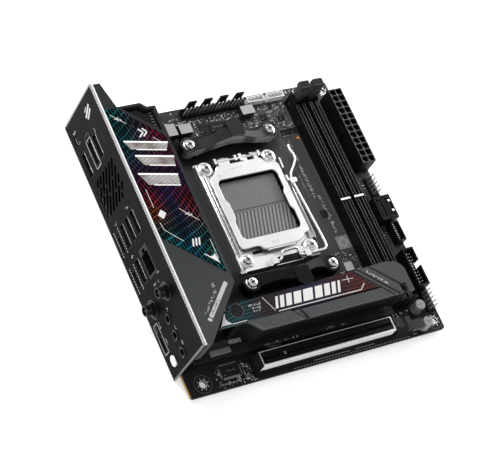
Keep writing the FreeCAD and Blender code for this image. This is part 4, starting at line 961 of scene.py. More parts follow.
def make_shield_fold():
    """A near-black strip of painted shade in the gap along the shield's folded top edge, and the riser's
    slate label beside its near end.
    """
    low, high = extent("io_shield")
    # Painted shade: a near-black strip stands in for the fold's gap.
    fold = Piece("shield_fold_gap_shade", "hole", "shield")
    fold.box((-2.1, low.y + 1.2, high.z - 0.01), (-1.7, high.y - 1.2, high.z - 0.002))
    fold.finish()
    label = Piece("riser_label", "grey_dark", "board")
    level = extent("riser_board")[1].z
    label.prism([(13.2, 18.9), (27.2, 18.9), (27.2, 23.4), (13.2, 23.4)], level + 0.01, level + 0.5)
    label.finish(0.1)


make_shield_details()
make_shield_fold()
make_cover_prints()
make_cover_pocket()


# ---- processor clamp ------------------------------------------------------------------------

COOLER_POSTS = [(60.26, 53.04), (114.26, 53.04), (60.26, 143.04), (114.26, 143.04)]
CLAMP_POSTS = [(65.4, 67.8), (108.3, 67.8), (65.4, 127.8), (108.3, 127.8)]
HINGE_Y, HINGE_Z = 130.2, 5.6


def cross_recess(piece, centre, reach, wide, level):
    """The cross of a screw's driver recess, tapering outward, in painted shade."""
    x, y = centre
    for turn in (0.35, 0.35 + math.pi / 2):
        along = Vector((math.cos(turn), math.sin(turn)))
        side = Vector((-along.y, along.x))
        points = [Vector(centre) + along * a + side * b for a, b in (
            (-reach, -wide * 0.32), (-wide * 0.6, -wide * 0.62), (wide * 0.6, -wide * 0.62),
            (reach, -wide * 0.32),
            (reach, wide * 0.32), (wide * 0.6, wide * 0.62), (-wide * 0.6, wide * 0.62),
            (-reach, wide * 0.32))]
        piece.prism([tuple(point) for point in points], level, level + 0.06)


def pan_screws(name, places, radius, seat, height, old_node):
    """Domed screws with a collar; each has a cross recess on top, darkened with painted shade."""
    heads = Piece(name, "screw_steel", "screw_steel")
    profile = [(0.0, -0.5), (radius, -0.5), (radius, 0.25), (radius * 0.96, 0.35), (radius * 0.83, 0.38),
               (radius * 0.80, 0.5), (radius * 0.80, height * 0.62), (radius * 0.72, height * 0.86),
               (radius * 0.5, height - 0.04), (0.0, height)]
    for x, y in places:
        heads.lathe(profile, lambda v, x=x, y=y: Vector((x + v.x, y + v.y, seat + v.z)), sides=40)
    heads.finish(smooth=True, replaces=(old_node,))
    # Painted shade: dark grey crosses in the driver recesses.
    dark = Piece(name + "_recesses", "recess_shade", "screw_steel")
    for place in places:
        cross_recess(dark, place, radius * 0.52, radius * 0.24, seat + height - 0.01)
    dark.finish()


def make_clamp():
    low, high = extent("ilm_screws")
    pan_screws("clamp_screws", CLAMP_POSTS, 3.5, high.z - 1.8, 2.0, "ilm_screws")
    low, high = extent("cooler_bracket_screws")
    pan_screws("bracket_screws", COOLER_POSTS, 3.6, high.z - 1.9, 1.9, "cooler_bracket_screws")
    # Pressed load plate: rolled edges, soft corners and the stepped window.
    low, high = 5.5, 6.7
    outline = [(63.9, 119.6), (69.6, 124.2), (71.2, 127.4), (101.6, 127.4), (103.4, 123.6), (111.0, 122.4),
               (111.0, 76.4), (106.4, 75.2), (104.6, 72.6), (100.2, 71.4), (79.4, 71.4), (75.8, 74.2),
               (66.6, 74.2), (63.9, 75.6)]
    x0, y0, x1, y1 = 68.0, 79.6, 107.6, 118.5
    step = 1.5
    window = [(x0, y0), (x1, y0), (x1, 91.6), (x1 - step, 93.6), (x1 - step, 103.6), (x1, 105.6), (x1, y1),
              (x0, y1), (x0, 105.6), (x0 + step, 103.6), (x0 + step, 93.6), (x0, 91.6)]
    plate("load_plate_skin", [rounded(outline, 2.2), rounded(window, 3.4, 8)[::-1]], low, high,
          "bright_steel",
          "load_plate_body", 0.3, replaces=("load_plate",))
    hinge = Piece("load_plate_hinge", "bright_steel", "bright_steel", "load_plate_body")
    for x, width in ((73.6, 7.4), (90.2, 2.6), (97.4, 2.8)):
        hinge.box((x, 127.0, low), (x + width, HINGE_Y, high))
        profile = [(0.0, 0.0), (1.5, 0.0), (1.5, width), (0.0, width)]
        hinge.lathe(profile, lambda v, x=x: Vector((x + v.z, HINGE_Y + v.x, HINGE_Z + v.y)), sides=28)
    hinge.box((80.4, 70.5, low), (99.0, 71.9, low + 0.8))
    hinge.finish(0.15, smooth=True)
    engraved = Piece("load_plate_marks", "lead_grey", "bright_steel", "load_plate_body")
    marks(engraved, (80.0, 123.4), (1, 0), 9, 1.9, high, None, 1.0)
    marks(engraved, (84.0, 73.6), (1, 0), 6, 1.9, high, None, 1.0)
    engraved.prism([(69.6, 121.6), (71.8, 121.6), (70.7, 119.8)], high, high + 0.03)
    engraved.finish()


def make_clamp_frame_details():
    """Folded rails of the clamp's frame, with painted shade in its hinge gaps, slits and recesses."""
    rails = Piece("frame_rails", "bright_steel", "bright_steel")
    for x, radius, level in ((60.0, 0.5, 5.0), (61.3, 0.34, 4.9), (62.7, 0.5, 5.1)):
        rails.tube([(x, 71.5, level - 0.6), (x, 72.6, level), (x, 122.8, level), (x, 124.2, level - 0.6)],
                   radius, 14)
    rails.tube([(114.5, 72.4, 3.4), (114.5, 74.0, 4.2), (114.5, 108.8, 4.2), (114.5, 110.2, 3.6)], 0.4, 14)
    rails.tube([(114.2, 118.8, 4.4), (114.2, 125.4, 4.8)], 0.55, 14)
    rails.finish(smooth=True)
    side = Piece("frame_side_rail", "rail_steel", "bright_steel")
    side.prism(rounded([(110.6, 72.0), (114.0, 73.0), (114.0, 112.0), (110.6, 113.4)], 0.4), 2.9, 4.1)
    side.finish(0.15, smooth=True)
    # Painted shade: near-black slits along the side rail's top and a dark strip beneath the rail.
    slits = Piece("frame_side_slit_shade", "hole", "bright_steel")
    for k in range(34):
        slits.box((112.9, 75.0 + k * 1.05, 4.08), (113.35, 75.6 + k * 1.05, 4.13))
    slits.box((115.0, 72.8, 2.0), (115.5, 108.0, 2.6))
    slits.finish()
    # Painted shade: near-black boxes between the rails, in the hinge gaps, under the lever's bow and under
    # the load plate's near edge.
    gaps = Piece("frame_gap_shade", "hole", "bright_steel")
    for x0, x1, y0, y1, level in ((60.5, 61.0, 73.0, 123.0, 4.7), (61.7, 62.2, 73.0, 123.0, 4.7),
                                  (69.4, 73.2, 127.6, 132.2, 5.2), (81.3, 87.6, 127.5, 132.2, 5.2),
                                  (93.1, 97.1, 127.5, 132.2, 5.2), (100.6, 104.2, 125.6, 132.2, 4.6),
                                  (84.0, 101.0, 62.0, 66.4, 2.86), (72.0, 78.6, 71.2, 73.0, 3.0)):
        gaps.box((x0, y0, 2.84), (x1, y1, level))
    gaps.finish(0.05)
    pads = Piece("frame_corner_pads", "bright_steel", "bright_steel")
    for x, y in CLAMP_POSTS:
        profile = [(0, 2.82), (4.9, 2.82), (4.9, 4.1), (4.5, 4.58), (0, 4.62)]
        pads.lathe(profile, lambda v, x=x, y=y: Vector((x + v.x, y + v.y, v.z)), sides=40)
    pads.finish(smooth=True)
    route = [(79.6, 63.3, 5.6), (85.0, 63.3, 5.6), (86.6, 64.6, 6.0), (88.0, 67.4, 6.9), (92.8, 67.9, 7.0),
             (97.4, 67.5, 6.9), (98.8, 64.9, 6.1), (100.4, 63.3, 5.6), (113.6, 63.3, 5.6), (116.4, 64.0, 5.6),
             (117.5, 66.8, 5.6), (116.9, 80.0, 5.65), (115.4, 104.0, 5.8), (115.0, 109.0, 6.0),
             (115.9, 113.2, 6.6),
             (119.4, 117.4, 7.2), (122.0, 121.0, 7.5), (122.5, 124.0, 7.6), (121.6, 127.4, 7.6),
             (121.6, 130.8, 7.6)]
    lever = Piece("lever_rod", "bright_steel", "bright_steel", "lever_body")
    lever.tube([tuple(point) for point in smooth_line(route, 5)], 0.85, 16)
    lever.finish(smooth=True, replaces=("socket_lever",))
    catch = Piece("lever_catch", "bright_steel", "bright_steel")
    catch.prism(rounded([(113.6, 106.6), (117.6, 107.6), (117.9, 110.2), (113.8, 110.8)], 0.5), 7.0, 7.25)
    catch.prism(rounded([(113.3, 106.6), (113.9, 106.6), (113.9, 110.8), (113.3, 110.8)], 0.15), 3.8, 7.1)
    catch.finish(0.08, smooth=True)
    hooks = Piece("frame_hooks", "bright_steel", "bright_steel")
    for x0, x1 in ((76.4, 79.6), (96.6, 99.4)):
        hooks.prism(rounded([(x0, 131.2), (x1, 131.2), (x1 + 0.4, 132.3), (x0 - 0.4, 132.3)], 0.3), 2.9, 5.4)
    hooks.prism(rounded([(88.0, 127.6), (89.9, 127.6), (89.9, 132.3), (88.0, 132.3)], 0.3), 2.9, 7.3)
    hooks.finish(0.2, smooth=True)
    seam = Piece("contact_seam", "print_grey", "contact_metal")
    field_top = extent("socket_contacts")[1].z
    for k in range(18):
        seam.box((69.6 + k * 2.1, 97.65, field_top), (70.9 + k * 2.1, 97.95, field_top + 0.2))
    seam.finish()


# ---- cooler brackets --------------------------------------------------------------------------

def smooth_line(points, steps=6):
    """A curve through the points (Catmull-Rom), as a denser list."""
    ends = [2 * Vector(points[0]) - Vector(points[1])] + [Vector(p) for p in points]
    ends.append(2 * ends[-1] - ends[-2])
    result = []
    for i in range(1, len(ends) - 2):
        a, b, c, d = ends[i - 1], ends[i], ends[i + 1], ends[i + 2]
        for k in range(steps):
            t = k / steps
            result.append(0.5 * ((2 * b) + (c - a) * t + (2 * a - 5 * b + 4 * c - d) * t * t
                                 + (3 * b - a - 3 * c + d) * t ** 3))
    result.append(ends[-2])
    return result


def make_cooler_brackets():
    """Two moulded clip brackets: screw bosses, an arched band and a tall hook, the near one mirrored."""
    middle = (COOLER_POSTS[0][1] + COOLER_POSTS[2][1]) / 2
    reach = extent("cooler_brackets")
    for mirrored in (False, True):
        name, material = ("clip_bracket_near", "black_plastic") if mirrored else ("clip_bracket_far",
                                                                                  "sheen_moulding")
        piece = Piece(name, material, "black_plastic")
        def turn(corner, mirrored=mirrored):
            y = min(corner.y, reach[1].y - 0.02)
            return Vector((corner.x, 2 * middle - y if mirrored else y, corner.z))
        # Band: near edge, far edge and top height at stations along it.
        stations = [(58.0, 138.6, 147.2, 8.6), (64.6, 137.9, 147.4, 8.7), (70.0, 138.4, 147.2, 9.6),
                    (76.0, 139.0, 147.2, 10.7), (82.0, 139.8, 148.2, 11.3), (87.0, 140.4, 149.4, 11.6),
                    (91.0, 140.2, 149.0, 11.6), (96.0, 139.6, 146.6, 10.8), (101.0, 138.4, 145.2, 10.0),
                    (106.0, 137.6, 145.2, 9.2), (110.0, 137.7, 146.6, 8.7), (115.6, 138.6, 147.4, 8.6)]
        line = smooth_line([Vector(station + (0,))[:4] for station in stations])
        rings = []
        for x, near, far, top in line:
            low = 3.4 if x < 66 or x > 108 else 4.6
            corners = [(near, low), (near, top - 1.0), (near + 0.9, top), (far - 1.4, top - 0.2),
                       (far, top - 1.6),
                       (far, low)]
            rings.append([piece.mesh.verts.new(at(*turn(Vector((x, y, z))))) for y, z in corners])
        for first, second in zip(rings, rings[1:]):
            for k in range(len(first)):
                j = (k + 1) % len(first)
                piece.mesh.faces.new((first[k], first[j], second[j], second[k]))
        piece.mesh.faces.new(rings[0][::-1])
        piece.mesh.faces.new(rings[-1])
        for x, y in COOLER_POSTS[2:]:
            profile = [(0.0, 1.62), (5.1, 1.62), (5.3, 6.6), (5.5, 6.9), (5.5, 7.9), (5.2, 8.4), (4.3, 8.5),
                       (4.1, 8.1), (0.0, 8.05)]
            piece.lathe(profile, lambda v, x=x, y=y: turn(Vector((x + v.x, y + v.y, v.z))), sides=48)
        hook = [(86.6, 141.4), (96.2, 141.4), (96.4, 146.0), (96.0, 151.6), (92.8, 153.2), (89.4, 152.9),
                (86.4, 150.4)]
        piece.prism(rounded(hook, 0.9), 6.4, 11.95, turn)
        piece.prism([(88.0, 150.4), (95.2, 150.8), (94.6, 152.9), (89.6, 152.6)], 3.0, 8.0, turn)
        piece.finish(0.35, 3, smooth=True, replaces=("cooler_brackets",))


# ---- slots and power connectors ------------------------------------------------------------------

def make_memory_slot_details():
    """Painted highlights along the lengthwise edges, the white key bridge and the contact rows of both memory
    slots.
    """
    lines = Piece("slot_edge_highlights", "print_grey", "black_plastic")
    keys = Piece("slot_keys", "print_bright", "black_plastic")
    springs = Piece("slot_springs", "spring_dark", "contact_metal")
    key_y = 88.5
    for node_name in ("dimm_slot_a", "dimm_slot_b"):
        low, high = extent(node_name)
        centre = (low.x + high.x) / 2
        top = 11.2
        # Painted highlights: thin grey lines along the lengthwise edges of the slot's top.
        for shift in (-3.0, -1.25, 1.25, 3.0):
            for y0, y1 in ((20.0, key_y - 1.4), (key_y + 1.4, 153.6)):
                lines.box((centre + shift - 0.06, y0, top), (centre + shift + 0.06, y1, top + 0.03))
        keys.box((centre - 3.3, key_y - 0.6, top), (centre + 3.3, key_y + 0.6, top + 0.06))
        for side in (-1, 1):
            for k in range(72 * 2):
                y = 22.6 + k * 0.9
                if abs(y - key_y) < 2.0:
                    continue
                x = centre + side * 1.15
                springs.box((x - 0.25, y, top - 1.4), (x + 0.25, y + 0.4, top - 0.4))
    lines.finish()
    keys.finish()
    springs.finish()


def power_housing(name, old_node, low, high, across, along):
    """A power connector's body: a floor and thin walls round rounded cells, with painted highlights on the
    wall tops.
    """
    wall = 0.5
    width = (high[0] - low[0] - wall * (across + 1)) / across
    depth = (high[1] - low[1] - wall * (along + 1)) / along
    outlines = [rounded([low, (high[0], low[1]), high, (low[0], high[1])], 0.3, 3)]
    for i in range(across):
        for j in range(along):
            x, y = low[0] + wall + i * (width + wall), low[1] + wall + j * (depth + wall)
            corners = [(x, y), (x + width, y), (x + width, y + depth), (x, y + depth)]
            outlines.append(rounded(corners, 0.9, 3)[::-1])
    top = extent(old_node)[1].z
    plate(name, outlines, 3.2, top - 0.05, "connector", edge_mm=0.06, replaces=(old_node,))
    # Painted highlight: a thin pale layer on the walls' tops stands for the light they catch.
    plate(name + "_rims", outlines, top - 0.045, top - 0.005, "cell_rim_highlight", edge_mm=0.01)
    base = Piece(name + "_base", "connector", "black_plastic")
    base.box((*low, BOARD_TOP), (*high, 3.6))
    return base


def make_power_connectors():
    base = power_housing("main_power_housing", "atx_power_connector", (160.2, 106.4), (169.35, 157.55), 2, 12)
    base.prism([(159.2, 129.6), (160.3, 129.6), (160.3, 134.4), (159.2, 134.4)], 7.0, 10.4)
    base.finish(0.1)
    base = power_housing("processor_power_housing", "cpu_power_connector", (9.05, 159.25), (26.55, 168.35),
                         4, 2)
    base.finish(0.1)


def make_expansion_slot_details():
    """Dark moulding inside the bright shell with its contact springs and key."""
    low, high = extent("pcie_slot_shell")
    springs = Piece("expansion_springs", "spring_dark", "contact_metal")
    for row_y in (6.85, 8.6):
        for k in range(82):
            x = 46.0 + k * 1.0
            if 57.2 < x < 60.4:
                continue
            springs.box((x, row_y, 10.3), (x + 0.4, row_y + 0.3, 11.6))
    springs.finish()
    shoulder = Piece("shell_shoulders", "bright_steel", "bright_steel")
    for x in (low.x + 0.02, high.x - 3.4):
        shoulder.box((x, low.y + 0.02, high.z - 0.45), (x + 3.38, low.y + 1.0, high.z - 0.02))
        shoulder.box((x, high.y - 1.0, high.z - 0.45), (x + 3.38, high.y - 0.02, high.z - 0.02))
    shoulder.box((low.x + 0.02, low.y + 0.5, high.z - 0.3), (low.x + 0.5, high.y - 0.5, high.z - 0.02))
    shoulder.box((high.x - 0.9, low.y + 0.5, high.z - 1.2), (high.x - 0.02, high.y - 0.5, high.z - 0.02))
    shoulder.finish(0.1)
    key = Piece("expansion_key", "print_grey", "black_plastic")
    key.box((58.0, 7.0, 11.4), (59.4, 9.0, 12.36))
    key.finish(0.1)


def make_edge_connector_details():
    """Painted highlights and glints round the storage sockets' wells, and the bus socket's bright shield."""
    # Painted highlights: pale strokes along the sockets' outer edges, wells and tongues.
    rims = Piece("storage_socket_rim_highlights", "connector_rim_highlight", "black_plastic")
    level = extent("sata_ports")[1].z
    for x in (158.4, 164.2):
        outer = [(x + 0.1, 70.3), (x + 5.3, 70.3), (x + 5.3, 85.7), (x + 0.1, 85.7)]
        for first, last in zip(outer, outer[1:] + outer[:1]):
            rims.stroke(first, last, 0.18, level - 0.03, level - 0.005)
        well = [(x + 0.7, 72.3), (x + 4.6, 72.3), (x + 4.6, 83.7), (x + 2.3, 83.7), (x + 2.3, 85.0),
                (x + 0.7, 85.0)]
        for first, last in zip(well, well[1:] + well[:1]):
            rims.stroke(first, last, 0.3, level - 0.03, level - 0.004)
        tongue = [(x + 2.1, 73.2), (x + 3.3, 73.2), (x + 3.3, 82.8), (x + 2.1, 82.8)]
        for first, last in zip(tongue, tongue[1:] + tongue[:1]):
            rims.stroke(first, last, 0.2, level - 0.45, level - 0.4)
    rims.finish()
    # Painted highlights: two small glints on the outer socket.
    glints = Piece("storage_socket_glints", "print_bright", "black_plastic")
    for y in (74.6, 81.0):
        glints.box((167.0, y, level - 0.004), (168.6, y + 1.4, level - 0.002))
    glints.finish()
    low, high = extent("usbc_header")
    shell = Piece("front_bus_shell", "tin", "bright_steel")
    inset = 0.12
    ring = [(low.x + inset, low.y + inset), (high.x - inset, low.y + inset),
            (high.x - inset, high.y - inset), (low.x + inset, high.y - inset)]
    for first, last in zip(ring, ring[1:] + ring[:1]):
        shell.stroke(first, last, 0.24, high.z - 0.06, high.z - 0.01)
    for k in range(7):
        shell.box((low.x + 1.0, low.y + 1.6 + k * 1.5, high.z - 0.5),
                  (low.x + 1.5, low.y + 2.1 + k * 1.5, high.z - 0.2))
    shell.finish()


make_clamp()
make_clamp_frame_details()
make_edge_connector_details()
make_cooler_brackets()
make_memory_slot_details()
make_power_connectors()
make_expansion_slot_details()


# ---- storage cover decoration --------------------------------------------------------------------

def make_storage_prints():
    level = extent("m2_heatsink_cover")[1].z
    thick = 0.04
    bright = Piece("strip_prints", "print_white", "printed_plate")
    # A plain run of slanting bars, wide and narrow by turns, decorates the middle.
    low, high, lean = 24.9, 31.6, 2.6
    x = 49.6
    for width, gap in ((1.6, 1.3), (2.6, 1.3), (3.6, 1.3), (4.8, 1.3), (6.2, 1.5), (4.8, 1.3), (3.6, 1.3),
                       (2.6, 1.3),
                       (1.6, 0.0)):
        bright.prism([(x, low), (x + width, low), (x + width + lean, high), (x + lean, high)], level,
                     level + thick)
        x += width + gap
    for first, last, width in (((50.6, 23.2), (104.6, 23.2), 0.42), ((104.6, 23.2), (108.0, 26.4), 0.42),
                               ((44.6, 33.0), (48.9, 24.0), 0.3), ((95.4, 31.2), (102.8, 30.8), 0.3),
                               ((30.2, 22.7), (15.0, 22.7), 0.35), ((99.3, 28.9), (99.6, 33.0), 0.35)):
        bright.stroke(first, last, width, level, level + thick)
    bright.prism([(14.2, 22.5), (21.6, 22.6), (19.6, 24.2), (18.6, 26.4), (19.4, 29.8)], level, level + thick)
    marks(bright, (34.6, 29.6), (1, 0), 12, 1.3, level, None, 1.0)
    marks(bright, (36.2, 27.8), (1, 0), 9, 1.3, level, None, 1.0)
    marks(bright, (36.6, 26.0), (1, 0), 7, 1.3, level, None, 1.0)
    marks(bright, (112.4, 31.9), (1, -1), 17, 1.7, level, None, 1.0)
    bright.finish()
    # Painted shade: a near-black disc stands for the screw's recessed pocket.
    pocket = Piece("strip_screw_pocket_shade", "hole", "dark_aluminium")
    profile = [(0.0, -0.2), (3.9, -0.2), (3.9, 0.03), (0.0, 0.035)]
    pocket.lathe(profile, lambda v: Vector((26.9 + v.x, 29.4 + v.y, level + v.z)), sides=40)
    pocket.finish(smooth=True)
    lip = Piece("strip_screw_lip", "grey_plastic", "dark_aluminium")
    radius = 3.95
    ring = [(26.9 + radius * math.cos(math.pi * k / 20), 29.4 + radius * math.sin(math.pi * k / 20))
            for k in range(41)]
    for first, last in zip(ring, ring[1:]):
        lip.stroke(first, last, 0.26, level + 0.036, level + 0.06)
    lip.finish()
    # Painted shade: near-black bands where the cover's plates part.
    split = Piece("storage_cover_split_shade", "hole", "dark_aluminium")
    split.prism([(62.4, 22.0), (63.6, 22.0), (66.9, 15.25), (64.7, 15.25)], level, level + 0.03)
    split.prism([(106.4, 35.4), (107.9, 35.4), (128.0, 15.3), (126.2, 15.3)], level, level + 0.03)
    split.prism([(114.4, 35.4), (115.9, 35.4), (134.0, 17.4), (132.5, 17.4)], level, level + 0.03)
    split.finish()
    # Painted highlight: pale grey strokes along the cover's near and slanted edges.
    edges = Piece("storage_cover_edge_highlights", "print_grey", "dark_aluminium")
    for first, last in (((31.0, 22.0), (38.2, 15.3)), ((38.2, 15.3), (64.0, 15.3)),
                        ((65.2, 15.3), (123.0, 15.3)),
                        ((124.0, 15.3), (129.0, 15.3)), ((133.2, 15.3), (136.9, 15.3))):
        edges.stroke(first, last, 0.16, level - 0.02, level + 0.02)
    edges.finish()


# ---- details on the board -------------------------------------------------------------------------

CASE_HOLES = [(10.16, 6.35), (165.1, 6.35), (33.02, 163.83), (165.1, 163.83)]
# Rectangles that larger parts stand on: x low, y low, x high, y high.
TAKEN = [
    (-1, 12, 30.5, 175), (30, 12, 137, 46), (0, 0, 18, 46), (54.6, 47.4, 120.6, 148.6),
    (41.5, 2.2, 152.5, 13.2),
    (135.6, 17.6, 153.6, 162.4), (158.4, 105.8, 170, 158.4), (65.6, 162.6, 137.0, 170),
    (159.0, 24.6, 170, 51.0),
    (162.4, 55.6, 170, 70.0), (157.6, 69.4, 170, 86.6), (162.4, 88.2, 170, 102.6), (162.8, 11.0, 170, 24.0),
    (21.6, 5.4, 35.0, 14.0), (73.4, 150.4, 93.4, 157.4), (124.2, 139.2, 137.0, 144.6),
    (123.5, 46.8, 131.3, 54.6),
    (115.6, 151.6, 121.2, 157.2), (43.4, 157.8, 50.0, 163.4), (125.2, 83.2, 130.8, 88.8),
    (152.1, 91.6, 158.7, 98.2),
    (152.4, 59.6, 158.6, 67.6), (50.1, 150.2, 67.7, 159.4), (101.8, 154.8, 111.8, 162.0),
    (152.2, 0.6, 160.6, 19.6),
    (28.0, 58.0, 54.8, 153.0), (126.8, 61.0, 136.8, 71.4),
]


def is_free(x0, y0, x1, y1, placed):
    for a, b, c, d in TAKEN + placed:
        if x0 < c and x1 > a and y0 < d and y1 > b:
            return False
    for x, y in CASE_HOLES:
        if x0 < x + 5.6 and x1 > x - 5.6 and y0 < y + 5.6 and y1 > y - 5.6:
            return False
    return 0.4 < x0 and x1 < 169.6 and 0.4 < y0 and y1 < 169.6


def chip_part(bodies, ends, x, y, long_side, short_side, height, upright, level=None, down=False):
    """One two-ended surface part: a body between two tinned ends."""
    half_x, half_y = (short_side / 2, long_side / 2) if upright else (long_side / 2, short_side / 2)
    base = BOARD_TOP if level is None else level
    low, high = (base - height, base) if down else (base, base + height)
    cap = 0.24 * long_side
    if upright:
        bodies.box((x - half_x, y - half_y + cap, low), (x + half_x, y + half_y - cap, high))
        ends.box((x - half_x, y - half_y, low), (x + half_x, y - half_y + cap, high + 0.01))
        ends.box((x - half_x, y + half_y - cap, low), (x + half_x, y + half_y, high + 0.01))
    else:
        bodies.box((x - half_x + cap, y - half_y, low), (x + half_x - cap, y + half_y, high))
        ends.box((x - half_x, y - half_y, low), (x - half_x + cap, y + half_y, high + 0.01))
        ends.box((x + half_x - cap, y - half_y, low), (x + half_x, y + half_y, high + 0.01))


# Regions with small parts: x low, y low, x high, y high, number tried.
CROWDED = [
    (50, 145, 137, 162, 420), (120, 144, 137, 162, 130), (121, 44, 136, 62, 60),
    (153, 20, 162, 106, 90), (153.5, 98, 158.4, 160, 40), (36, 0.8, 44, 12, 40), (18, 1.0, 42, 14, 70),
    (137, 1.0, 153, 17, 40), (50, 58, 55, 150, 40), (34, 146, 50, 158, 50),
    (34, 158, 66, 169, 70), (137, 162, 160, 169, 30),
]


def make_small_board_parts():
    capacitors = Piece("small_capacitors", "ceramic", "chip_epoxy")
    resistors = Piece("small_resistors", "resistor", "chip_epoxy")
    ends = Piece("small_part_ends", "tin", "bright_steel")
    packages = Piece("small_packages", "chip_epoxy", "chip_epoxy")
    legs = Piece("small_package_legs", "tin", "bright_steel")
    placed = []
    for x0, y0, x1, y1, tries in CROWDED:
        for _ in range(tries):
            kind = CHANCE.random()
            x, y = CHANCE.uniform(x0, x1), CHANCE.uniform(y0, y1)
            upright = CHANCE.random() < 0.5
            if kind < 0.1:
                half_x, half_y = (1.5, 0.75) if upright else (0.75, 1.5)
                if not is_free(x - half_x - 0.5, y - half_y - 0.5, x + half_x + 0.5, y + half_y + 0.5,
                               placed):
                    continue
                packages.box((x - half_x, y - half_y, BOARD_TOP + 0.1),
                             (x + half_x, y + half_y, BOARD_TOP + 1.0))
                for k in (-1, 0, 1):
                    for side in (-1, 1):
                        if upright:
                            legs.box((x + k * 0.95 - 0.2, y + side * 0.95 - 0.3, BOARD_TOP),
                                     (x + k * 0.95 + 0.2, y + side * 0.95 + 0.3, BOARD_TOP + 0.25))
                        else:
                            legs.box((x + side * 0.95 - 0.3, y + k * 0.95 - 0.2, BOARD_TOP),
                                     (x + side * 0.95 + 0.3, y + k * 0.95 + 0.2, BOARD_TOP + 0.25))
                placed.append((x - half_x - 0.5, y - half_y - 0.5, x + half_x + 0.5, y + half_y + 0.5))
                continue
            long_side = CHANCE.choice((1.0, 1.0, 1.6))
            short_side = long_side * 0.5
            half = (short_side / 2, long_side / 2) if upright else (long_side / 2, short_side / 2)
            spot = (x - half[0] - 0.12, y - half[1] - 0.12, x + half[0] + 0.12, y + half[1] + 0.12)
            if not is_free(*spot, placed):
                continue
            placed.append(spot)
            body = capacitors if kind < 0.55 else resistors
            chip_part(body, ends, x, y, long_side, short_side, 0.35 * long_side, upright)
    for piece in (capacitors, resistors, ends, packages, legs):
        piece.finish()


def make_board_prints():
    """Silkscreen: outlines, dashes, part marks and the ticks that stand in for lettering."""
    silk = Piece("board_prints", "print_grey_light", "board")
    faint = Piece("board_faint_prints", "print_grey", "board")
    level = BOARD_TOP
    marks(silk, (126.5, 136.0), (0, -1), 40, 2.0, level, None, 0.9)
    marks(silk, (129.6, 98.0), (0, -1), 26, 2.0, level, None, 0.9)
    marks(faint, (123.0, 118.0), (0, -1), 18, 1.6, level, None, 1.0)
    for y in (84.2, 79.6):
        silk.stroke((130.2, y), (132.4, y), 0.35, level, level + 0.03)
        silk.stroke((131.3, y - 1.1), (131.3, y + 1.1), 0.35, level, level + 0.03)
    for radius, start, sweep in ((9.0, 0.2, 1.6), (7.2, 0.6, 1.9), (5.0, -0.4, 1.7), (11.0, 0.9, 0.9)):
        arc = [(122.4 + radius * 0.4 * math.cos(start + sweep * k / 14), 127.0 + radius * math.sin(
            start + sweep * k / 14)) for k in range(15)]
        for first, last in zip(arc, arc[1:]):
            faint.stroke(first, last, 0.18, level, level + 0.03)
    for x0, y0, x1, y1 in ((124.6, 139.6, 131.1, 144.2), (131.2, 139.6, 136.5, 144.2),
                           (123.9, 47.2, 130.9, 54.2),
                           (21.9, 5.7, 34.7, 13.7), (73.8, 150.8, 81.0, 157.0), (81.2, 150.8, 93.0, 157.0),
                           (115.9, 151.9, 120.9, 156.9), (43.7, 158.1, 49.7, 163.1),
                           (50.4, 150.5, 57.4, 159.1),
                           (124.2, 99.0, 128.2, 113.0)):
        for first, last in (((x0, y0), (x1, y0)), ((x1, y0), (x1, y1)), ((x1, y1), (x0, y1)),
                            ((x0, y1), (x0, y0))):
            faint.stroke(first, last, 0.16, level, level + 0.03)
    for k in range(55):
        y = 20.0 + k * 2.5
        faint.box((135.2, y, level), (135.4, y + 1.3, level + 0.03))
        faint.box((154.4, y, level), (154.6, y + 1.3, level + 0.03))
    for k in range(38):
        silk.box((66.0 + k * 2.1, 0.9, level), (67.1 + k * 2.1, 1.15, level + 0.03))
    silk.box((80.0, 2.4, level), (104.0, 2.62, level + 0.03))
    silk.box((107.6, 2.4, level), (121.0, 2.62, level + 0.03))
    for k in range(16):
        silk.disc((51.6, 64.0 + k * 5.4), 0.32, level, level + 0.03, 10)
    for k in range(14):
        y = 62.0 + k * 6.0
        marks(faint, (53.6, y), (0, 1), 4, 1.3, level, None, 0.9)
    for _ in range(60):
        x0, y0, x1, y1, tries = CHANCE.choice(CROWDED)
        x, y = CHANCE.uniform(x0, x1 - 2), CHANCE.uniform(y0, y1 - 1)
        if is_free(x, y, x + 2.4, y + 1.2, []):
            marks(silk, (x, y), CHANCE.choice(((1, 0), (0, 1), (0, -1))), 4, 1.0, level, None, 0.8)
    silk.finish()
    faint.finish()
    # Pale square label whose generic sign is a plain lozenge in a frame.
    label = Piece("board_label", "print_grey", "board")
    label.box((127.6, 62.0, level), (136.0, 70.4, level + 0.05))
    label.finish()
    sign = Piece("board_label_sign", "print_grey_light", "board")
    for first, last in (((131.8, 69.2), (135.0, 66.2)), ((135.0, 66.2), (131.8, 63.2)),
                        ((131.8, 63.2), (128.6, 66.2)),
                        ((128.6, 66.2), (131.8, 69.2))):
        sign.stroke(first, last, 0.4, level + 0.05, level + 0.08)
    sign.finish()


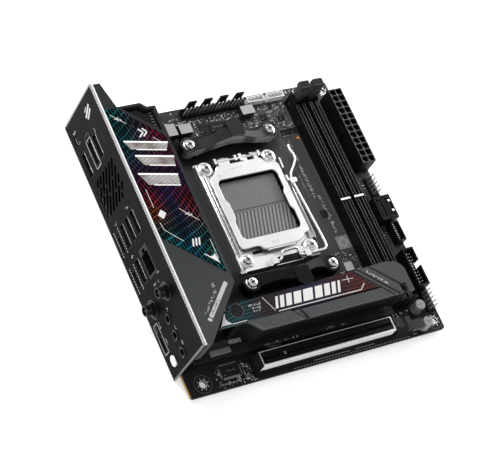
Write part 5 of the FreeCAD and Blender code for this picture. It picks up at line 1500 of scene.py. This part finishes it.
def make_vias_and_rings():
    """Tinned dots of the through holes and the plated rings round the case holes."""
    vias = Piece("board_vias", "lead_grey", "board")
    level = BOARD_TOP
    for x0, y0, x1, y1, tries in CROWDED:
        for _ in range(tries // 2):
            x, y = CHANCE.uniform(x0, x1), CHANCE.uniform(y0, y1)
            if is_free(x - 0.3, y - 0.3, x + 0.3, y + 0.3, []):
                vias.disc((x, y), 0.22, level, level + 0.03, 8)
    for x in range(44, 152, 3):
        vias.disc((x + 0.4, 14.4), 0.2, level, level + 0.03, 8)
    for row, count in ((36.6, 10), (39.0, 8)):
        for k in range(count):
            vias.disc((row, 2.0 + k * 1.2), 0.26, level, level + 0.03, 8)
    for k in range(12):
        vias.disc((20.0 + k * 1.6, 3.0), 0.4, level, level + 0.03, 12)
    vias.finish()
    rings = Piece("case_hole_rings", "tin", "bright_steel")
    halo = Piece("case_hole_halos", "print_grey", "board")
    for x, y in CASE_HOLES:
        for low, high in ((level, level + 0.04), (-0.04, 0.0)):
            profile = [(2.0, low), (2.4, low), (2.4, high), (2.0, high)]
            rings.lathe(profile, lambda v, x=x, y=y: Vector((x + v.x, y + v.y, v.z)), sides=48)
            for k in range(8):
                angle = math.pi / 4 * k + 0.2
                rings.disc((x + 3.3 * math.cos(angle), y + 3.3 * math.sin(angle)), 0.32, low, high, 14)
        for k in range(40):
            a0, a1 = 2 * math.pi * k / 40, 2 * math.pi * (k + 1) / 40
            first = (x + 5.2 * math.cos(a0), y + 5.2 * math.sin(a0))
            last = (x + 5.2 * math.cos(a1), y + 5.2 * math.sin(a1))
            if 0.3 < min(first[0], first[1]) and max(first[0], first[1]) < 169.7:
                halo.stroke(first, last, 0.14, level, level + 0.03)
    rings.finish()
    halo.finish()


def lead_rows(piece, x0, y0, x1, y1, pitch, reach, sides):
    """Gull-wing leads along the chosen sides of a chip."""
    level = BOARD_TOP
    if "near" in sides or "far" in sides:
        count = int((x1 - x0 - 0.8) / pitch)
        for k in range(count):
            x = x0 + 0.5 + k * pitch
            if "near" in sides:
                piece.box((x, y0 - reach, level), (x + pitch * 0.5, y0 + 0.05, level + 0.35))
            if "far" in sides:
                piece.box((x, y1 - 0.05, level), (x + pitch * 0.5, y1 + reach, level + 0.35))
    if "left" in sides or "right" in sides:
        count = int((y1 - y0 - 0.8) / pitch)
        for k in range(count):
            y = y0 + 0.5 + k * pitch
            if "left" in sides:
                piece.box((x0 - reach, y, level), (x0 + 0.05, y + pitch * 0.5, level + 0.35))
            if "right" in sides:
                piece.box((x1 - 0.05, y, level), (x1 + reach, y + pitch * 0.5, level + 0.35))


def make_chip_details():
    leads = Piece("chip_leads", "lead_grey", "bright_steel")
    lead_rows(leads, 22.6, 6.4, 34.0, 13.0, 0.5, 1.1, ("near", "far", "left", "right"))
    lead_rows(leads, 125.0, 140.0, 130.8, 143.8, 1.2, 0.7, ("near", "far"))
    lead_rows(leads, 131.5, 140.0, 136.2, 143.8, 1.2, 0.7, ("near", "far"))
    lead_rows(leads, 124.3, 47.6, 130.5, 53.8, 0.6, 0.5, ("near", "far", "left", "right"))
    lead_rows(leads, 153.2, 60.4, 157.8, 66.8, 1.0, 0.6, ("left", "right"))
    lead_rows(leads, 74.2, 151.2, 80.6, 156.6, 0.6, 0.4, ("near", "far", "left", "right"))
    lead_rows(leads, 44.2, 158.6, 49.2, 162.6, 1.1, 0.6, ("near", "far"))
    leads.finish()
    dots = Piece("chip_marks", "print_grey", "chip_epoxy")
    for x, y, high in ((23.8, 7.6, 2.9), (125.8, 140.8, 2.6), (132.2, 140.8, 2.6), (125.2, 48.4, 2.6),
                       (75.0, 152.0, 2.8), (82.2, 152.0, 2.8), (117.0, 153.0, 2.5)):
        dots.disc((x, y), 0.35, high, high + 0.02, 14)
    marks(dots, (25.4, 9.2), (1, 0), 12, 1.1, 2.9, None, 1.0)
    marks(dots, (83.4, 153.6), (1, 0), 12, 1.1, 2.8, None, 1.0)
    marks(dots, (82.6, 42.4), (1, 0), 20, 1.2, 3.2, None, 1.0)
    dots.finish()
    pale = Piece("clock_chip_lid", "print_grey_light", "can_metal")
    pale.prism(rounded([(124.7, 48.0), (130.1, 48.0), (130.1, 53.4), (124.7, 53.4)], 0.5), 2.6, 2.68)
    pale.finish(0.03)
    lamp = Piece("board_lamp", "amber", "white_plastic")
    profile = [(0.0, 0.0), (0.85, 0.0), (0.85, 0.35), (0.6, 0.6), (0.0, 0.7)]
    lamp.lathe(profile, lambda v: Vector((134.6 + v.x, 136.8 + v.y, BOARD_TOP + v.z)), sides=20)
    lamp.finish(smooth=True)
    # Painted shade: dark strokes stand for the crossed vent grooves on the capacitor tops.
    vents = Piece("capacitor_score_shade", "hole", "can_metal")
    for x, y in ((156.5, 15.5), (156.2, 4.6)):
        vents.stroke((x - 1.9, y), (x + 1.9, y), 0.18, 9.0, 9.03)
        vents.stroke((x, y - 1.9), (x, y + 1.9), 0.18, 9.0, 9.03)
    vents.finish()
    riser = Piece("riser_prints", "print_grey_light", "board")
    top = 13.4
    for k in range(6):
        riser.box((28.4 + k * 1.3, 20.2, top), (29.2 + k * 1.3, 22.6, top + 0.03))
    marks(riser, (48.0, 14.2), (1, 0), 34, 1.3, top, None, 0.7)
    marks(riser, (86.0, 14.0), (1, 0), 24, 1.3, top, None, 0.7)
    for k in range(10):
        riser.disc((16.0 + k * 1.5, 21.4 + (k % 2) * 1.3), 0.3, top, top + 0.03, 10)
    riser.finish()
    joints = Piece("inductor_ends", "tin", "bright_steel")
    for x, y, width, depth in ((50.9, 151.0, 6.0, 7.6), (58.9, 151.0, 8.0, 6.0), (102.6, 155.6, 8.4, 5.6)):
        for corner in (x - 0.5, x + width - 0.3):
            joints.box((corner, y + depth * 0.3, BOARD_TOP), (corner + 0.8, y + depth * 0.7, BOARD_TOP + 1.2))
    joints.finish()


def make_underside():
    """Solder joints under the connectors and the small parts on the board's back."""
    solder = Piece("solder_joints", "tin", "bright_steel")
    def dome(x, y, radius=0.55):
        profile = [(radius, 0.0), (radius * 0.8, -0.35), (radius * 0.35, -0.75), (0.0, -0.8)]
        solder.lathe(profile, lambda v: Vector((x + v.x, y + v.y, v.z)), sides=10)
    for i in range(2):
        for j in range(12):
            dome(162.6 + 4.2 * i, 108.6 + 4.2 * j, 0.9)
    for i in range(4):
        for j in range(2):
            dome(11.4 + 4.2 * i, 161.6 + 4.2 * j, 0.9)
    for x in (138.4, 141.4, 147.8, 150.8):
        for k in range(60):
            dome(x, 24.0 + 2.1 * k, 0.35)
    for k in range(41):
        for y in (5.6, 10.2):
            dome(46.0 + 2.0 * k, y, 0.35)
    for x, y0, y1 in ((3.0, 139.0, 152.0), (5.4, 89.0, 101.0), (5.4, 67.0, 80.0), (8.6, 66.0, 81.0),
                      (5.0, 28.0, 38.0)):
        count = int((y1 - y0) / 2.0)
        for k in range(count):
            dome(x, y0 + 2.0 * k, 0.45)
            dome(x + 2.4, y0 + 1.0 + 2.0 * k, 0.45)
    for k in range(10):
        for x in (161.6, 164.2):
            dome(x, 27.4 + 2.0 * k, 0.4)
    solder.finish(smooth=True)
    bodies = Piece("underside_parts", "ceramic", "chip_epoxy")
    ends = Piece("underside_part_ends", "tin", "bright_steel")
    placed = []
    for _ in range(420):
        x, y = CHANCE.uniform(20, 134), CHANCE.uniform(14, 158)
        if 53.0 < x < 121.5 and 45.5 < y < 150.5 and not (70 < x < 104 and 82 < y < 114):
            continue
        upright = CHANCE.random() < 0.5
        spot = (x - 0.9, y - 0.9, x + 0.9, y + 0.9)
        if any(spot[0] < c and spot[2] > a and spot[1] < d and spot[3] > b for a, b, c, d in placed):
            continue
        placed.append(spot)
        chip_part(bodies, ends, x, y, 1.6, 0.8, 0.6, upright, 0.0, down=True)
    bodies.finish()
    ends.finish()
    silk = Piece("underside_prints", "print_grey", "board")
    def flip(corner):
        return Vector((corner.x, corner.y, -corner.z))
    for x, y, run, count in ((24.0, 30.0, (1, 0), 22), (24.0, 26.0, (1, 0), 16), (128.0, 60.0, (0, 1), 20),
                             (60.0, 20.0, (1, 0), 30), (30.0, 120.0, (0, 1), 16), (124.0, 110.0, (0, 1), 14)):
        marks(silk, (x, y), run, count, 2.0, 0.0, flip, 0.85)
    silk.finish()


make_storage_prints()
make_small_board_parts()
make_board_prints()
make_vias_and_rings()
make_chip_details()
make_underside()


# ---- finishes on the designed parts -----------------------------------------------------

FINISHES = {
    "board": ["pcb", "riser_board"],
    "backplate": ["socket_backplate"],
    "shield": ["io_shield"],
    "port_steel": ["hdmi_port", "usb_a_ports", "usb_c_ports", "lan_port"],
    "contact_metal": ["riser_standoffs"],
    "spring_dark": ["pcie_contacts", "dimm_contacts"],
    "tin": ["header_pins", "power_pins"],
    "cover": ["io_cover"],
    "printed_plate": ["cover_plate"],
    "dark_aluminium": ["vrm_heatsink", "m2_heatsink"],
    "strip": ["m2_heatsink_cover"],
    "bright_steel": ["ilm_frame", "load_plate", "load_plate_pin", "socket_lever", "coin_cell"],
    "slot_shell": ["pcie_slot_shell"],
    "screw_steel": ["ilm_screws", "cooler_bracket_screws"],
    "gloss_black": ["antenna_connectors", "cover_screws", "m2_cover_screws"],
    "black_plastic": ["audio_jacks", "bios_flash_button", "cooler_brackets", "pcie_latch_posts",
                      "riser_connector", "m2_socket", "wifi_module"],
    "connector": ["dimm_slot_a", "dimm_slot_b", "pcie_slot", "atx_power_connector", "cpu_power_connector",
                  "fan_headers", "pin_headers", "sata_ports", "usb3_header", "usbc_header", "cpu_socket"],
    "latch_grey": ["dimm_latch_a", "dimm_latch_b", "pcie_latch"],
    "pad_grey": ["vrm_thermal_pads"],
    "white_plastic": ["light_headers", "clear_cmos_button"],
    "ferrite": ["power_inductors"],
    "can_metal": ["electrolytic_caps", "audio_codec_can"],
    "chip_epoxy": ["chips", "chipset", "vrm_mosfets"],
    "socket_field": ["socket_contacts"],
}


def finish_designed_parts():
    for name, nodes in FINISHES.items():
        for node in nodes:
            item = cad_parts[node]
            for place in item.material_slots:
                place.material = MATERIAL[name]


finish_designed_parts()
make_camera()
make_studio()
